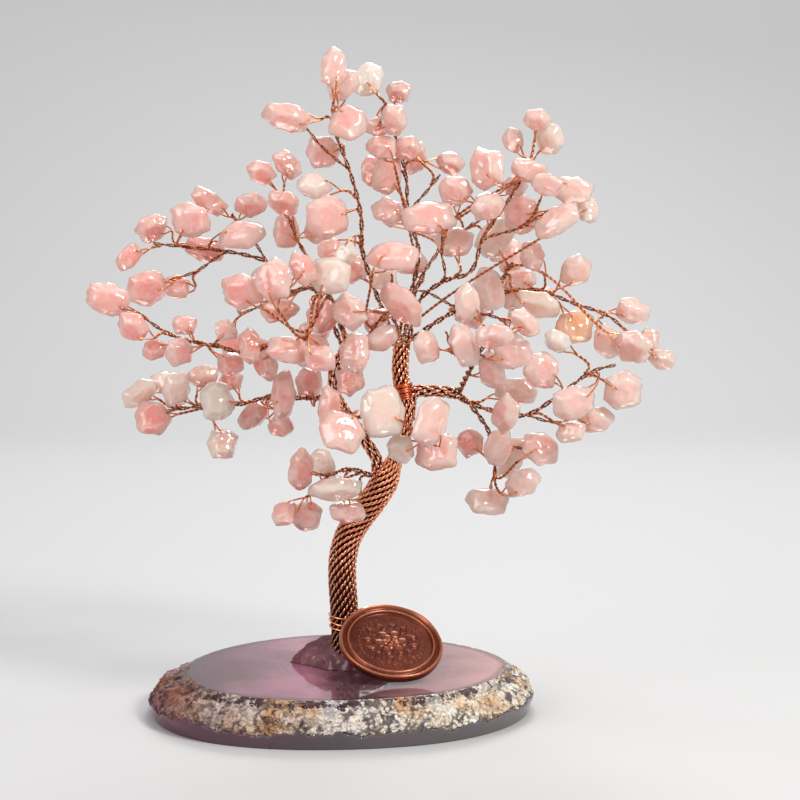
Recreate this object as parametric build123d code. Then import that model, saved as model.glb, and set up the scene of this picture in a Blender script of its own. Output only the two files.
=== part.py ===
from build123d import *
import os
from itertools import pairwise
from math import acos, ceil, cos, dist, pi, radians, sin, sqrt
import numpy as np

# A gemstone tree ornament: a wire tree with drilled stone chips on an agate slab.
# Lengths are in millimetres. X runs to the right, Y to the back and Z up.
# The origin is the centre of the slab's flat bottom.
RIGHTWARDS = np.array((1, 0, 0))
BACKWARDS = np.array((0, 1, 0))
UPWARDS = np.array((0, 0, 1))
LEVEL = np.array((1, 1, 0))

# Crown, whose places are shares of its radius from its centre
CROWN_RADIUS = 90.0
CROWN_X = 12.3
CROWN_Z = 127.0
# The point from which the crown's places line up, however far back each one lies
SIGHT_DISTANCE = 600.0
SIGHT_X = 18.3
SIGHT_Z = 139.0

# Agate slab
SLAB_HALF_WIDTH = 57.5
SLAB_FRONT = 52.5
SLAB_BACK = 56.5
SLAB_THICKNESS = 13.0
SLAB_BAND_HEIGHT = 4.6
SLAB_UNDERCUT = 1.5
CRUST_BULGE = 1.2
CRUST_ROUGHNESS = 0.8
RIND_LEFT = 12.0
RIND_RIGHT = 8.0
RIND_FRONT = 6.0
RIND_BACK = 5.0
SLAB_SIDES = 48
# How high the crust's foot and brow lie, from the band to the top
CRUST_FOOT_SHARE = 0.15
CRUST_BROW_SHARE = 0.6
# Waves of the slab's outline: share of its reach, count round it, and start in radians
SLAB_WAVE_SHARES = ((0.02, 2, 0.6), (0.012, 3, 2.0), (0.008, 5, 0))
CRUST_WAVES = ((11, 0), (17, 1), (23, 0))

# Foot mound, with its outline in shares of its half width and half depth
MOUND_X = 3.0
MOUND_Y = 4.5
MOUND_HALF_WIDTH = 18.5
MOUND_HALF_DEPTH = 11.5
MOUND_HEIGHT = 9.5
MOUND_FIT = 0.15
MOUND_SOCKET_SIDES = 16
MOUND_SHARES = (
    (1.0, 0.0), (0.78, 0.62), (0.3, 0.95), (-0.25, 0.9), (-0.7, 0.6),
    (-1.0, 0.25), (-0.62, -0.3), (-0.35, -0.85), (0.25, -1.0), (0.8, -0.6),
)
# Height and spread of each of the mound's levels
MOUND_LEVEL_SHARES = ((0, 1.0), (0.45, 0.8), (0.8, 0.55), (1.0, 0.3))

# Trunk: a core with a ring of strands, of which some go on past the left fork
TRUNK_RADIUS = 4.35
TRUNK_CORE_RADIUS = 2.7
TRUNK_PITCH = 30.0
TRUNK_STRANDS = 12
NECK_RADIUS = 2.65
NECK_CORE_RADIUS = 1.5
NECK_PITCH = 24.0
NECK_STRANDS = 8
FORK_RADIUS = 1.95
FORK_PITCH = 20.0
FORK_STRANDS = 5
LEFT_FORK_WAY_SHARE = 0.93
RIGHT_FORK_WAY_SHARE = 0.6
STRAND_FIT = 0.1
STRAND_GAP = 0.4
STRAND_STEP_DEGREES = 60
CORE_SIDES = 8
CORE_STEPS = 10

# Windings of single wire
WINDING_WIRE = 0.6
WINDING_FIT = 0.2
WINDING_SIDES = 3
BINDING_TURNS = 4
BINDING_PITCH = 1.15
TIE_TURNS = 2
TIE_PITCH = 2.0
TIE_WAY_SHARE = 0.22
TIE_DEGREES = -72
HANGER_CREST = 1.0
GAP_POINTS = 24

# Medallion
MEDALLION_RADIUS = 15.5
MEDALLION_THICKNESS = 3.0
MEDALLION_RIM = 2.4
MEDALLION_RIM_DEPTH = 0.9
MEDALLION_STEP = 0.35
MEDALLION_RING_RADIUS = 12.2
MEDALLION_SIDES = 32
MEDALLION_LEAN_DEGREES = 58
MEDALLION_TURN_DEGREES = 10
MEDALLION_X = 15.6
MEDALLION_Y = -14.6
MEDALLION_SEAT = 0.3

# Boughs, stems and bows of twisted wire
BOUGH_RADIUS = 1.05
TWIG_RADIUS = 0.6
BOUGH_SIDES = 5
ROOT_GAP = 0.3
STEM_WIDTH = 0.8
STEM_SIDES = 3
WIRE_WIDTH = 0.5
WIRE_SIDES = 3
WIRE_GAP = 0.15
BOW_REACH = 2.3
BOW_THROAT = 0.34
BOW_CLEARANCE = 0.45
BORE_RADIUS = 0.8
BORE_SIDES = 3
# Stems leave a bough clear of its root, this far apart and within these leans
BARE_ROOT = 4.0
FOOT_SPACING = 1.0
LEAN_LEAST_DEGREES = 18
LEAN_MOST_DEGREES = 140
TIP_LEAN_MOST_DEGREES = 50
SEARCH_STEPS = 8

# Stone chips
CHIP_LENGTH = 12.6
CHIP_WIDTH = 10.2
CHIP_THICKNESS = 5.4
CHIP_GAP = 1.5
NEST_DEPTH = 5.0
BEND_DEGREES = 5
SETTLE_ROUNDS = 120
THICKNESS_LIMIT_SHARE = 0.75
# How far a chip's corners reach past an egg shape of its size
CORNER_SHARE = 1.2

# Outlines of the chips, in shares of half their length and half their width
STONE_SHARES = (
    ((0.95, 0.4), (0.25, 1.0), (-0.7, 0.85), (-1.0, -0.2), (-0.45, -0.95), (0.7, -0.8)),
    ((1.0, 0.3), (0.4, 1.0), (-0.75, 0.75), (-0.95, -0.4), (-0.2, -1.0), (0.85, -0.65)),
    ((0.9, 0.55), (0.1, 1.0), (-0.85, 0.65), (-1.0, -0.35), (-0.3, -0.95), (0.75, -0.75)),
    ((0.85, 0.75), (-0.1, 1.0), (-0.95, 0.6), (-0.85, -0.6), (0.05, -1.0), (1.0, -0.45)),
    ((1.0, 0.05), (0.5, 0.9), (-0.5, 0.95), (-0.95, 0.1), (-0.65, -0.85), (0.45, -0.9)),
    ((0.9, 0.6), (0.2, 1.0), (-0.65, 0.8), (-1.0, 0.0), (-0.6, -0.95), (0.6, -0.85)),
)
RIM_LIFT_SHARES = (0.12, -0.14, 0.16, -0.1, 0.12, -0.16)
FRONT_CAP_SHARE = 0.62
BACK_CAP_SHARE = 0.56
CAP_SHIFT_SHARE = 0.06
BORE_PLACE_SHARE = 0.4
# How far each chip in turn is rolled about its length and nodded about its width
ROLL_DEGREES = (14, -30, 38, -12, 24, -42, 8, 33, -20)
NOD_DEGREES = (10, -18, 6, 22, -12, -26, 16)

# Centrelines, in shares of the crown's radius across, up and to the back
TRUNK_SHARES = (
    (-0.117, -1.2, 0.0), (-0.117, -1.14, 0.0), (-0.123, -1.033, 0.0), (-0.127, -0.933, 0.0),
    (-0.11, -0.833, 0.0), (-0.06, -0.75, 0.0), (0.0, -0.667, 0.0), (0.047, -0.573, 0.0),
)
NECK_SHARES = (
    (0.08, -0.467, 0.0), (0.08, -0.367, 0.0), (0.067, -0.267, 0.0), (0.073, -0.18, 0.0),
)
LEFT_FORK_SHARES = (
    (-0.083, -0.45, 0.0), (-0.147, -0.35, 0.0), (-0.15, -0.267, 0.0), (-0.117, -0.2, 0.0),
)
RIGHT_FORK_SHARES = (
    (0.18, -0.337, 0.0), (0.25, -0.343, 0.0),
)

# Boughs: "seat" names the bundle that carries the bough, the share of the bundle's length
# where it leaves, and its place there across and back in shares of the bundle's radius;
# "rods" are the centrelines of the bough and its side twigs; "chips" give
# each chip's place across and up, how many nests it sits behind its bough, its length
# and width as shares of the usual ones, and how steeply it rises to the right in degrees
UPPER_LEFT_SHARES = {
    "seat": ("neck", 1, -0.87, -0.32),
    "rods": (
        ((-0.017, 0.0, -0.08), (-0.057, 0.127, -0.12), (-0.063, 0.25, -0.13),
         (-0.1, 0.393, -0.13), (-0.14, 0.5, -0.12), (-0.157, 0.593, -0.1)),
        ((-0.1, 0.393, -0.13), (-0.19, 0.47, -0.13), (-0.24, 0.53, -0.12)),
    ),
    "chips": (
        (-0.15, 0.727, 0, 1.05, 0.81, 80),
        (-0.123, 0.673, 1, 0.9, 1.0, 20),
        (-0.303, 0.567, 0, 1.18, 0.94, -20),
        (-0.103, 0.547, -1, 0.95, 1.12, 60),
        (-0.187, 0.453, 1, 0.85, 1.03, 10),
        (-0.22, 0.34, 0, 0.9, 0.81, -45),
        (-0.173, 0.24, -1, 1.13, 1.3, 15),
        (-0.167, 0.133, 1, 0.68, 0.68, 0),
        (-0.113, 0.117, -1, 0.66, 0.66, 30),
        (-0.093, 0.067, 1, 0.75, 0.87, 0),
    ),
}
APEX_SHARES = {
    "seat": ("neck", 1, -0.71, 0.6),
    "rods": (
        ((0.107, 0.0, 0.06), (0.127, 0.133, 0.1), (0.093, 0.25, 0.13),
         (0.087, 0.367, 0.13), (0.053, 0.5, 0.12), (0.017, 0.617, 0.1)),
        ((0.093, 0.25, 0.13), (0.16, 0.33, 0.13), (0.2, 0.38, 0.13)),
    ),
    "chips": (
        (-0.04, 0.69, 0, 0.95, 1.12, 90),
        (0.063, 0.65, 1, 0.68, 0.75, 0),
        (0.047, 0.56, -1, 0.9, 0.81, 90),
        (-0.007, 0.537, 1, 0.68, 0.66, 0),
        (0.007, 0.467, -1, 0.8, 0.75, 0),
        (0.123, 0.433, 1, 0.8, 0.75, 90),
        (0.09, 0.467, -1, 0.75, 0.81, 0),
        (-0.023, 0.393, 1, 0.85, 0.75, 90),
        (0.023, 0.38, -1, 1.1, 1.0, 90),
        (0.027, 0.26, 1, 0.85, 0.94, -45),
        (0.233, 0.417, 0, 0.75, 0.75, -30),
    ),
}
UPPER_RIGHT_SHARES = {
    "seat": ("neck", 1, 0.69, -0.62),
    "rods": (
        ((0.133, -0.033, -0.05), (0.217, 0.03, -0.1), (0.3, 0.06, -0.13),
         (0.34, 0.167, -0.13), (0.417, 0.283, -0.13), (0.5, 0.417, -0.12)),
        ((0.34, 0.167, -0.13), (0.45, 0.2, -0.12), (0.56, 0.26, -0.13)),
        ((0.217, 0.03, -0.1), (0.205, 0.12, -0.12), (0.215, 0.24, -0.13)),
    ),
    "chips": (
        (0.16, 0.237, -1, 1.35, 1.0, 5),
        (0.25, 0.327, 0, 0.9, 0.87, 0),
        (0.353, 0.403, -1, 1.1, 1.25, 90),
        (0.44, 0.493, 1, 0.68, 0.66, 90),
        (0.517, 0.56, 0, 0.68, 0.69, 0),
        (0.56, 0.497, 1, 0.85, 0.94, 90),
        (0.49, 0.393, -1, 0.9, 0.69, -20),
        (0.447, 0.34, 1, 0.68, 0.66, 0),
        (0.553, 0.347, -1, 0.85, 0.69, 0),
        (0.643, 0.327, 0, 1.1, 0.87, 0),
        (0.687, 0.263, 1, 0.75, 0.81, 90),
        (0.587, 0.227, -1, 1.3, 1.0, 25),
        (0.467, 0.247, 1, 0.95, 1.19, 0),
        (0.357, 0.273, -1, 0.85, 0.87, 0),
        (0.25, 0.157, 1, 1.0, 0.94, 0),
    ),
}
RIGHT_SHARES = {
    "seat": ("neck", 1, 0.9, 0.24),
    "rods": (
        ((0.2, -0.1, 0.06), (0.333, -0.033, 0.11), (0.51, 0.0, 0.13),
         (0.647, -0.047, 0.13), (0.757, -0.087, 0.12), (0.83, -0.147, 0.1)),
        ((0.333, -0.033, 0.11), (0.4, 0.03, 0.13), (0.44, 0.09, 0.13)),
    ),
    "chips": (
        (0.38, 0.167, -1, 1.15, 1.06, 60),
        (0.437, 0.107, 1, 0.95, 1.0, 90),
        (0.503, 0.11, -1, 0.8, 0.81, 90),
        (0.463, 0.033, 1, 0.85, 0.69, 0),
        (0.65, 0.063, 0, 1.03, 1.09, 90),
        (0.363, -0.003, -1, 1.25, 1.12, -60),
        (0.44, -0.023, 1, 0.75, 0.66, 90),
        (0.517, -0.05, -1, 1.2, 1.0, 0),
        (0.65, -0.123, -1, 1.05, 1.16, 0),
        (0.837, -0.073, 1, 0.93, 0.81, -25),
        (0.753, -0.173, -1, 0.95, 0.87, 90),
        (0.84, -0.19, -1, 1.05, 1.19, 0),
        (0.893, -0.17, 1, 0.75, 0.66, 90),
        (0.937, -0.23, 0, 0.7, 0.66, -20),
    ),
}
FRONT_UPPER_SHARES = {
    "seat": ("neck", 1, -0.13, -0.92),
    "rods": (
        ((0.04, -0.067, -0.14), (0.04, 0.05, -0.22)),
        ((0.04, -0.067, -0.14), (-0.03, -0.14, -0.16), (-0.07, -0.2, -0.17)),
    ),
    "chips": (
        (0.047, 0.11, 0, 1.35, 1.12, -15),
        (0.013, 0.037, 1, 0.68, 0.75, 0),
        (0.073, -0.05, -1, 1.35, 1.06, -65),
        (-0.01, -0.1, 1, 0.7, 0.81, 0),
        (-0.103, -0.073, 0, 1.0, 0.94, -30),
        (-0.083, -0.213, -1, 1.1, 1.06, 90),
        (0.007, -0.16, -1, 0.9, 0.81, 25),
        (-0.1, -0.303, 1, 0.7, 0.94, 0),
    ),
}
CENTRE_RIGHT_SHARES = {
    "seat": ("right_fork", 1, -0.62, -0.36),
    "rods": (
        ((0.307, -0.25, -0.2), (0.35, -0.183, -0.34), (0.4, -0.15, -0.4)),
        ((0.307, -0.25, -0.2), (0.24, -0.2, -0.3), (0.22, -0.14, -0.36)),
    ),
    "chips": (
        (0.29, -0.04, 0, 0.9, 0.81, 90),
        (0.153, -0.193, 0, 0.85, 0.81, -60),
        (0.28, -0.187, -1, 1.1, 0.75, -65),
        (0.377, -0.153, -1, 1.05, 0.75, 25),
        (0.48, -0.117, 0, 0.85, 0.81, -50),
        (0.44, -0.213, 1, 0.9, 0.94, 0),
        (0.373, -0.27, 0, 1.0, 0.87, 90),
    ),
}
LOWER_RIGHT_SHARES = {
    "seat": ("right_fork", 1, 0.62, -0.36),
    "rods": (
        ((0.367, -0.4, -0.07), (0.483, -0.417, -0.12), (0.6, -0.347, -0.13),
         (0.71, -0.27, -0.13), (0.783, -0.25, -0.12)),
        ((0.483, -0.417, -0.12), (0.57, -0.44, -0.13), (0.65, -0.44, -0.13)),
    ),
    "chips": (
        (0.59, -0.17, 0, 0.75, 0.69, -35),
        (0.537, -0.267, -1, 0.95, 1.12, 0),
        (0.45, -0.34, 1, 1.05, 0.94, 0),
        (0.42, -0.41, -1, 1.0, 0.94, 50),
        (0.643, -0.377, -1, 1.1, 1.06, 0),
        (0.72, -0.433, 1, 0.9, 0.94, 0),
        (0.64, -0.473, -1, 0.85, 0.68, 0),
        (0.81, -0.337, 0, 1.0, 1.2, 10),
    ),
}
RIGHT_HANGING_SHARES = {
    "seat": ("right_fork", 1, 0, 0.72),
    "rods": (
        ((0.327, -0.417, 0.07), (0.373, -0.5, 0.12), (0.383, -0.6, 0.13),
         (0.38, -0.635, 0.12)),
        ((0.373, -0.5, 0.12), (0.43, -0.52, 0.13), (0.48, -0.53, 0.13)),
    ),
    "chips": (
        (0.533, -0.53, 0, 1.05, 1.19, 0),
        (0.393, -0.523, -1, 1.05, 1.06, 90),
        (0.437, -0.563, 1, 1.35, 0.75, 65),
        (0.477, -0.643, -1, 1.0, 1.0, 0),
        (0.363, -0.707, 0, 1.25, 1.0, 0),
        (0.297, -0.507, 1, 0.8, 0.87, -50),
    ),
}
OUTER_LEFT_SHARES = {
    "seat": ("left_fork", 1, -0.75, 0),
    "rods": (
        ((-0.217, 0.0, 0.08), (-0.373, 0.093, 0.12), (-0.507, 0.127, 0.13),
         (-0.633, 0.14, 0.13), (-0.75, 0.153, 0.12)),
        ((-0.373, 0.093, 0.12), (-0.43, 0.18, 0.13), (-0.49, 0.25, 0.13)),
        ((-0.507, 0.127, 0.13), (-0.61, 0.06, 0.12), (-0.7, 0.03, 0.12)),
    ),
    "chips": (
        (-0.427, 0.28, 1, 0.85, 0.87, 0),
        (-0.563, 0.29, 0, 1.05, 0.69, -25),
        (-0.627, 0.227, -1, 1.05, 1.12, 0),
        (-0.457, 0.18, -1, 1.35, 1.06, -15),
        (-0.753, 0.203, 1, 0.85, 1.0, 0),
        (-0.83, 0.107, 0, 0.83, 0.68, 55),
        (-0.773, 0.003, -1, 1.0, 1.3, 80),
        (-0.673, 0.007, 1, 0.7, 0.84, 0),
        (-0.58, 0.133, 1, 1.05, 0.75, -25),
        (-0.333, -0.07, 1, 1.18, 0.81, 15),
        (-0.187, -0.087, 1, 1.15, 1.0, 25),
    ),
}
BACK_LEFT_SHARES = {
    "seat": ("left_fork", 1, 0.35, 0.65),
    "rods": (
        ((-0.183, 0.017, 0.22), (-0.273, 0.167, 0.36), (-0.323, 0.3, 0.4)),
        ((-0.183, 0.017, 0.22), (-0.33, -0.03, 0.34), (-0.46, -0.08, 0.38)),
    ),
    "chips": (
        (-0.39, 0.383, 0, 0.8, 0.75, -30),
        (-0.307, 0.413, 1, 0.9, 0.81, -40),
        (-0.317, 0.287, -1, 0.9, 0.94, 0),
        (-0.31, 0.193, 1, 0.95, 0.94, 90),
        (-0.2, 0.2, 0, 0.95, 1.0, 20),
        (-0.37, 0.03, 1, 1.05, 1.0, -30),
        (-0.46, -0.01, -1, 1.0, 0.9, 40),
        (-0.22, -0.14, 1, 0.95, 0.9, 0),
        (-0.5, -0.17, 1, 0.9, 0.85, -60),
    ),
}
CENTRE_LEFT_SHARES = {
    "seat": ("left_fork", 1, 0.35, -0.65),
    "rods": (
        ((-0.173, -0.02, -0.22), (-0.27, 0.0, -0.36), (-0.365, -0.037, -0.4)),
        ((-0.173, -0.02, -0.22), (-0.22, -0.11, -0.33), (-0.25, -0.17, -0.38)),
    ),
    "chips": (
        (-0.457, -0.007, 0, 1.05, 1.12, 0),
        (-0.353, 0.033, -1, 1.05, 1.19, 90),
        (-0.257, 0.07, 1, 0.85, 0.75, 90),
        (-0.163, 0.047, 0, 1.05, 1.12, 0),
        (-0.2, -0.227, 0, 0.85, 0.81, 0),
        (-0.307, -0.2, 1, 1.0, 0.94, 0),
    ),
}
LEFT_SHARES = {
    "seat": ("left_fork", 0.88, 0, 0),
    "rods": (
        ((-0.283, -0.167, -0.09), (-0.453, -0.207, -0.13), (-0.543, -0.187, -0.13),
         (-0.667, -0.16, -0.13), (-0.74, -0.123, -0.13), (-0.79, -0.085, -0.12)),
    ),
    "chips": (
        (-0.903, -0.033, 0, 1.15, 1.0, -25),
        (-0.82, -0.123, -1, 0.9, 1.0, 0),
        (-0.647, -0.117, 1, 0.7, 0.66, 0),
        (-0.667, -0.207, -1, 0.7, 0.87, 0),
        (-0.747, -0.2, 1, 0.7, 0.66, 0),
        (-0.507, -0.133, -1, 0.66, 0.66, 0),
        (-0.497, -0.247, 1, 0.7, 0.75, 0),
        (-0.433, -0.187, -1, 0.95, 0.68, 90),
        (-0.383, -0.227, 1, 1.3, 0.81, 90),
        (-0.23, -0.203, -1, 0.95, 1.06, 0),
    ),
}
LOWER_LEFT_SHARES = {
    "seat": ("left_fork", 0.6, 0, 0),
    "rods": (
        ((-0.267, -0.36, 0.08), (-0.36, -0.353, 0.12), (-0.46, -0.38, 0.13),
         (-0.59, -0.387, 0.13), (-0.733, -0.407, 0.12)),
    ),
    "chips": (
        (-0.803, -0.347, 0, 1.0, 0.87, 20),
        (-0.713, -0.307, 1, 0.95, 0.75, 0),
        (-0.677, -0.333, -1, 0.95, 0.81, 90),
        (-0.757, -0.43, -1, 0.95, 1.12, 0),
        (-0.587, -0.287, 0, 0.9, 0.75, 0),
        (-0.493, -0.3, 1, 0.68, 0.66, 0),
        (-0.543, -0.373, -1, 1.0, 1.12, 90),
        (-0.42, -0.417, 1, 0.95, 0.87, 60),
        (-0.32, -0.35, -1, 1.25, 0.75, 90),
        (-0.333, -0.45, 1, 0.83, 0.81, 0),
        (-0.523, -0.513, 0, 0.85, 0.94, 0),
        (-0.235, -0.31, 1, 0.85, 0.87, 90),
    ),
}
HANGING_LEFT_SHARES = {
    "seat": ("trunk", 0.91, 0, 0),
    "rods": (
        ((-0.11, -0.6, -0.12), (-0.175, -0.625, -0.16), (-0.22, -0.66, -0.16)),
    ),
    "chips": (
        (-0.193, -0.58, 1, 0.8, 0.87, 90),
        (-0.147, -0.663, -1, 1.35, 0.81, 0),
        (-0.11, -0.743, 0, 0.95, 0.69, 0),
        (-0.263, -0.597, -1, 1.15, 0.81, 90),
        (-0.32, -0.75, 0, 0.7, 0.81, 0),
        (-0.243, -0.757, 1, 0.85, 1.0, 0),
    ),
}
FRONT_CENTRE_SHARES = {
    "seat": ("neck", 0.36, 0, 0),
    "rods": (
        ((0.05, -0.43, -0.2), (0.02, -0.44, -0.32)),
        ((0.05, -0.43, -0.2), (0.11, -0.47, -0.29), (0.16, -0.5, -0.33)),
        ((0.05, -0.43, -0.2), (-0.03, -0.42, -0.28), (-0.1, -0.43, -0.31)),
    ),
    "chips": (
        (0.17, -0.443, -1, 1.25, 1.12, 60),
        (0.193, -0.54, 1, 1.15, 1.25, 0),
        (0.01, -0.407, -1, 1.25, 1.35, 90),
        (-0.127, -0.473, -1, 1.15, 1.31, 0),
        (-0.17, -0.393, 1, 1.2, 0.68, 90),
        (0.07, -0.53, 0, 0.8, 0.81, 90),
    ),
}
BACK_RIGHT_SHARES = {
    "seat": ("neck", 1, 0.19, 0.91),
    "rods": (
        ((0.12, 0.0, 0.2), (0.2, 0.13, 0.34), (0.31, 0.22, 0.4)),
        ((0.12, 0.0, 0.2), (0.26, -0.06, 0.32), (0.42, -0.1, 0.39)),
    ),
    "chips": (
        (0.25, 0.32, 0, 0.95, 0.9, 30),
        (0.37, 0.27, -1, 1.0, 0.95, -40),
        (0.18, 0.22, 1, 0.95, 1.0, 0),
        (0.39, 0.15, 1, 1.0, 0.9, 70),
        (0.3, -0.08, 1, 1.05, 0.9, -20),
        (0.36, 0.01, -1, 0.95, 1.0, 50),
        (0.47, -0.08, 1, 0.9, 0.9, 0),
        (0.53, -0.04, -1, 1.0, 0.85, 20),
        (0.45, -0.2, 0, 0.95, 0.95, -50),
        (0.1, 0.09, 0, 1.0, 0.9, 10),
        (0.03, 0.25, 1, 0.9, 0.9, -30),
    ),
}
BOUGH_SHARES = {
    "upper_left": UPPER_LEFT_SHARES,
    "apex": APEX_SHARES,
    "upper_right": UPPER_RIGHT_SHARES,
    "right": RIGHT_SHARES,
    "front_upper": FRONT_UPPER_SHARES,
    "centre_right": CENTRE_RIGHT_SHARES,
    "lower_right": LOWER_RIGHT_SHARES,
    "right_hanging": RIGHT_HANGING_SHARES,
    "outer_left": OUTER_LEFT_SHARES,
    "back_left": BACK_LEFT_SHARES,
    "centre_left": CENTRE_LEFT_SHARES,
    "left": LEFT_SHARES,
    "lower_left": LOWER_LEFT_SHARES,
    "hanging_left": HANGING_LEFT_SHARES,
    "front_centre": FRONT_CENTRE_SHARES,
    "back_right": BACK_RIGHT_SHARES,
}


# Places and directions

def sight(across, up, y):
    """The point at depth y that is seen at these shares of the crown's radius."""
    stretch = 1 + y / SIGHT_DISTANCE
    x = SIGHT_X + (CROWN_X - SIGHT_X + across * CROWN_RADIUS) * stretch
    z = SIGHT_Z + (CROWN_Z - SIGHT_Z + up * CROWN_RADIUS) * stretch
    return np.array((x, y, z))


def places(shares):
    return [sight(across, up, back * CROWN_RADIUS) for across, up, back in shares]


def unit(array):
    return array / np.linalg.norm(array)


def vector(place):
    return Vector(*map(float, place))


def angle_between(first, second):
    """The angle in radians between two unit vectors."""
    return acos(np.clip(np.dot(first, second), -1, 1))


def turned(place, axis, angle):
    """The place turned about a unit axis by an angle in degrees."""
    across = np.cross(axis, place)
    along = axis * np.dot(axis, place)
    return along + (place - along) * cos(radians(angle)) + across * sin(radians(angle))


def sides_of(heading):
    """Unit vectors to the side and to the back, square to a heading."""
    side = np.cross(BACKWARDS, heading)
    if np.linalg.norm(side) < sin(radians(LEAN_LEAST_DEGREES)):
        side = np.cross(UPWARDS, heading)
    side = unit(side)
    return side, np.cross(heading, side)


def round_ring(centre, heading, radius, sides):
    side, back = sides_of(heading)
    angles = [2 * pi * corner / sides for corner in range(sides)]
    return [centre + radius * (side * cos(angle) + back * sin(angle)) for angle in angles]


# Solids of flat facets

def shifted(ring):
    return [*ring[1:], ring[0]]


def facet(*points):
    return Face(Wire.make_polygon([vector(point) for point in points], close=True))


def skin(rings):
    """A closed solid through rings of points, with a flat cap on each end."""
    faces = [facet(*rings[0]), facet(*rings[-1])]
    for low, high in pairwise(rings):
        for a, b, c, d in zip(low, shifted(low), shifted(high), high):
            faces.append(facet(a, b, c))
            faces.append(facet(a, c, d))
    return Solid(Shell(faces))


def kite_skin(rings):
    """A strand's solid, whose two flanks lean the same way, so that it is nowhere thin."""
    faces = [facet(*rings[0]), facet(*rings[-1])]
    for low, high in pairwise(rings):
        sides = list(zip(low, shifted(low), shifted(high), high))
        half = len(sides) // 2
        for a, b, c, d in sides[:half]:
            faces += [facet(a, b, c), facet(a, c, d)]
        for a, b, c, d in sides[half:]:
            faces += [facet(a, b, d), facet(b, c, d)]
    return Solid(Shell(faces))


def prism(start, end, radius, sides):
    heading = unit(end - start)
    return skin([round_ring(place, heading, radius, sides) for place in (start, end)])


def tapered_rod(route, first_radius, last_radius, sides):
    """A rod through the points of a route, with a ring across each bend."""
    legs = [unit(after - before) for before, after in pairwise(route)]
    headings = [legs[0], *[unit(a + b) for a, b in pairwise(legs)], legs[-1]]
    side, _ = sides_of(headings[0])
    rings = []
    for number, (place, heading) in enumerate(zip(route, headings)):
        radius = first_radius + (last_radius - first_radius) * number / (len(route) - 1)
        side = unit(side - heading * np.dot(side, heading))
        back = np.cross(heading, side)
        angles = [2 * pi * corner / sides for corner in range(sides)]
        rings.append([place + radius * (side * cos(a) + back * sin(a)) for a in angles])
    return skin(rings)


# Agate slab

def slab_outline(height, inset, roughness):
    """One level of the slab's edge, drawn in by its rind towards the polished top."""
    points = []
    for corner in range(SLAB_SIDES):
        angle = 2 * pi * corner / SLAB_SIDES
        wave = sum(share * sin(count * angle + start) for share, count, start in SLAB_WAVE_SHARES)
        half_depth = SLAB_BACK if sin(angle) > 0 else SLAB_FRONT
        rind_x = RIND_RIGHT if cos(angle) > 0 else RIND_LEFT
        rind_y = RIND_BACK if sin(angle) > 0 else RIND_FRONT
        grain = sum(sin(count * angle + start) for count, start in CRUST_WAVES) / len(CRUST_WAVES)
        reach_x = SLAB_HALF_WIDTH * (1 + wave) - inset * rind_x + roughness * grain
        reach_y = half_depth * (1 + wave) - inset * rind_y + roughness * grain
        points.append(np.array((reach_x * cos(angle), reach_y * sin(angle), height)))
    return points


def agate_slab():
    rings = []
    crust_height = SLAB_THICKNESS - SLAB_BAND_HEIGHT
    for lift_share, push, inset, roughness in (
        (0, 0, 0, 0),
        (CRUST_FOOT_SHARE, CRUST_BULGE, CRUST_FOOT_SHARE, CRUST_ROUGHNESS),
        (CRUST_BROW_SHARE, CRUST_BULGE, CRUST_BROW_SHARE**2, CRUST_ROUGHNESS),
        (1, 0, 1, 0),
    ):
        height = SLAB_BAND_HEIGHT + lift_share * crust_height
        ring = slab_outline(height, inset, roughness)
        rings.append([point + push * unit(point * LEVEL) for point in ring])
    foot = slab_outline(0, 0, 0)
    rings.insert(0, [point - SLAB_UNDERCUT * unit(point * LEVEL) for point in foot])
    return skin(rings)


# Foot mound

def foot_mound(trunk):
    """A lump with a round socket for the trunk."""
    rings = []
    for lift, spread in MOUND_LEVEL_SHARES:
        height = SLAB_THICKNESS + lift * MOUND_HEIGHT
        ring = []
        for across, back in MOUND_SHARES:
            x = MOUND_X + across * spread * MOUND_HALF_WIDTH
            y = MOUND_Y + back * spread * MOUND_HALF_DEPTH
            ring.append(np.array((x, y, height)))
        rings.append(ring)
    foot, heading, _, _ = trunk.frame(0)
    low = foot - heading * MOUND_HEIGHT
    high = foot + 2 * heading * MOUND_HEIGHT
    socket = prism(low, high, (TRUNK_RADIUS + MOUND_FIT) / cos(pi / MOUND_SOCKET_SIDES), MOUND_SOCKET_SIDES)
    return skin(rings) - socket


# Bundles: the trunk, its neck and the forks

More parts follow.
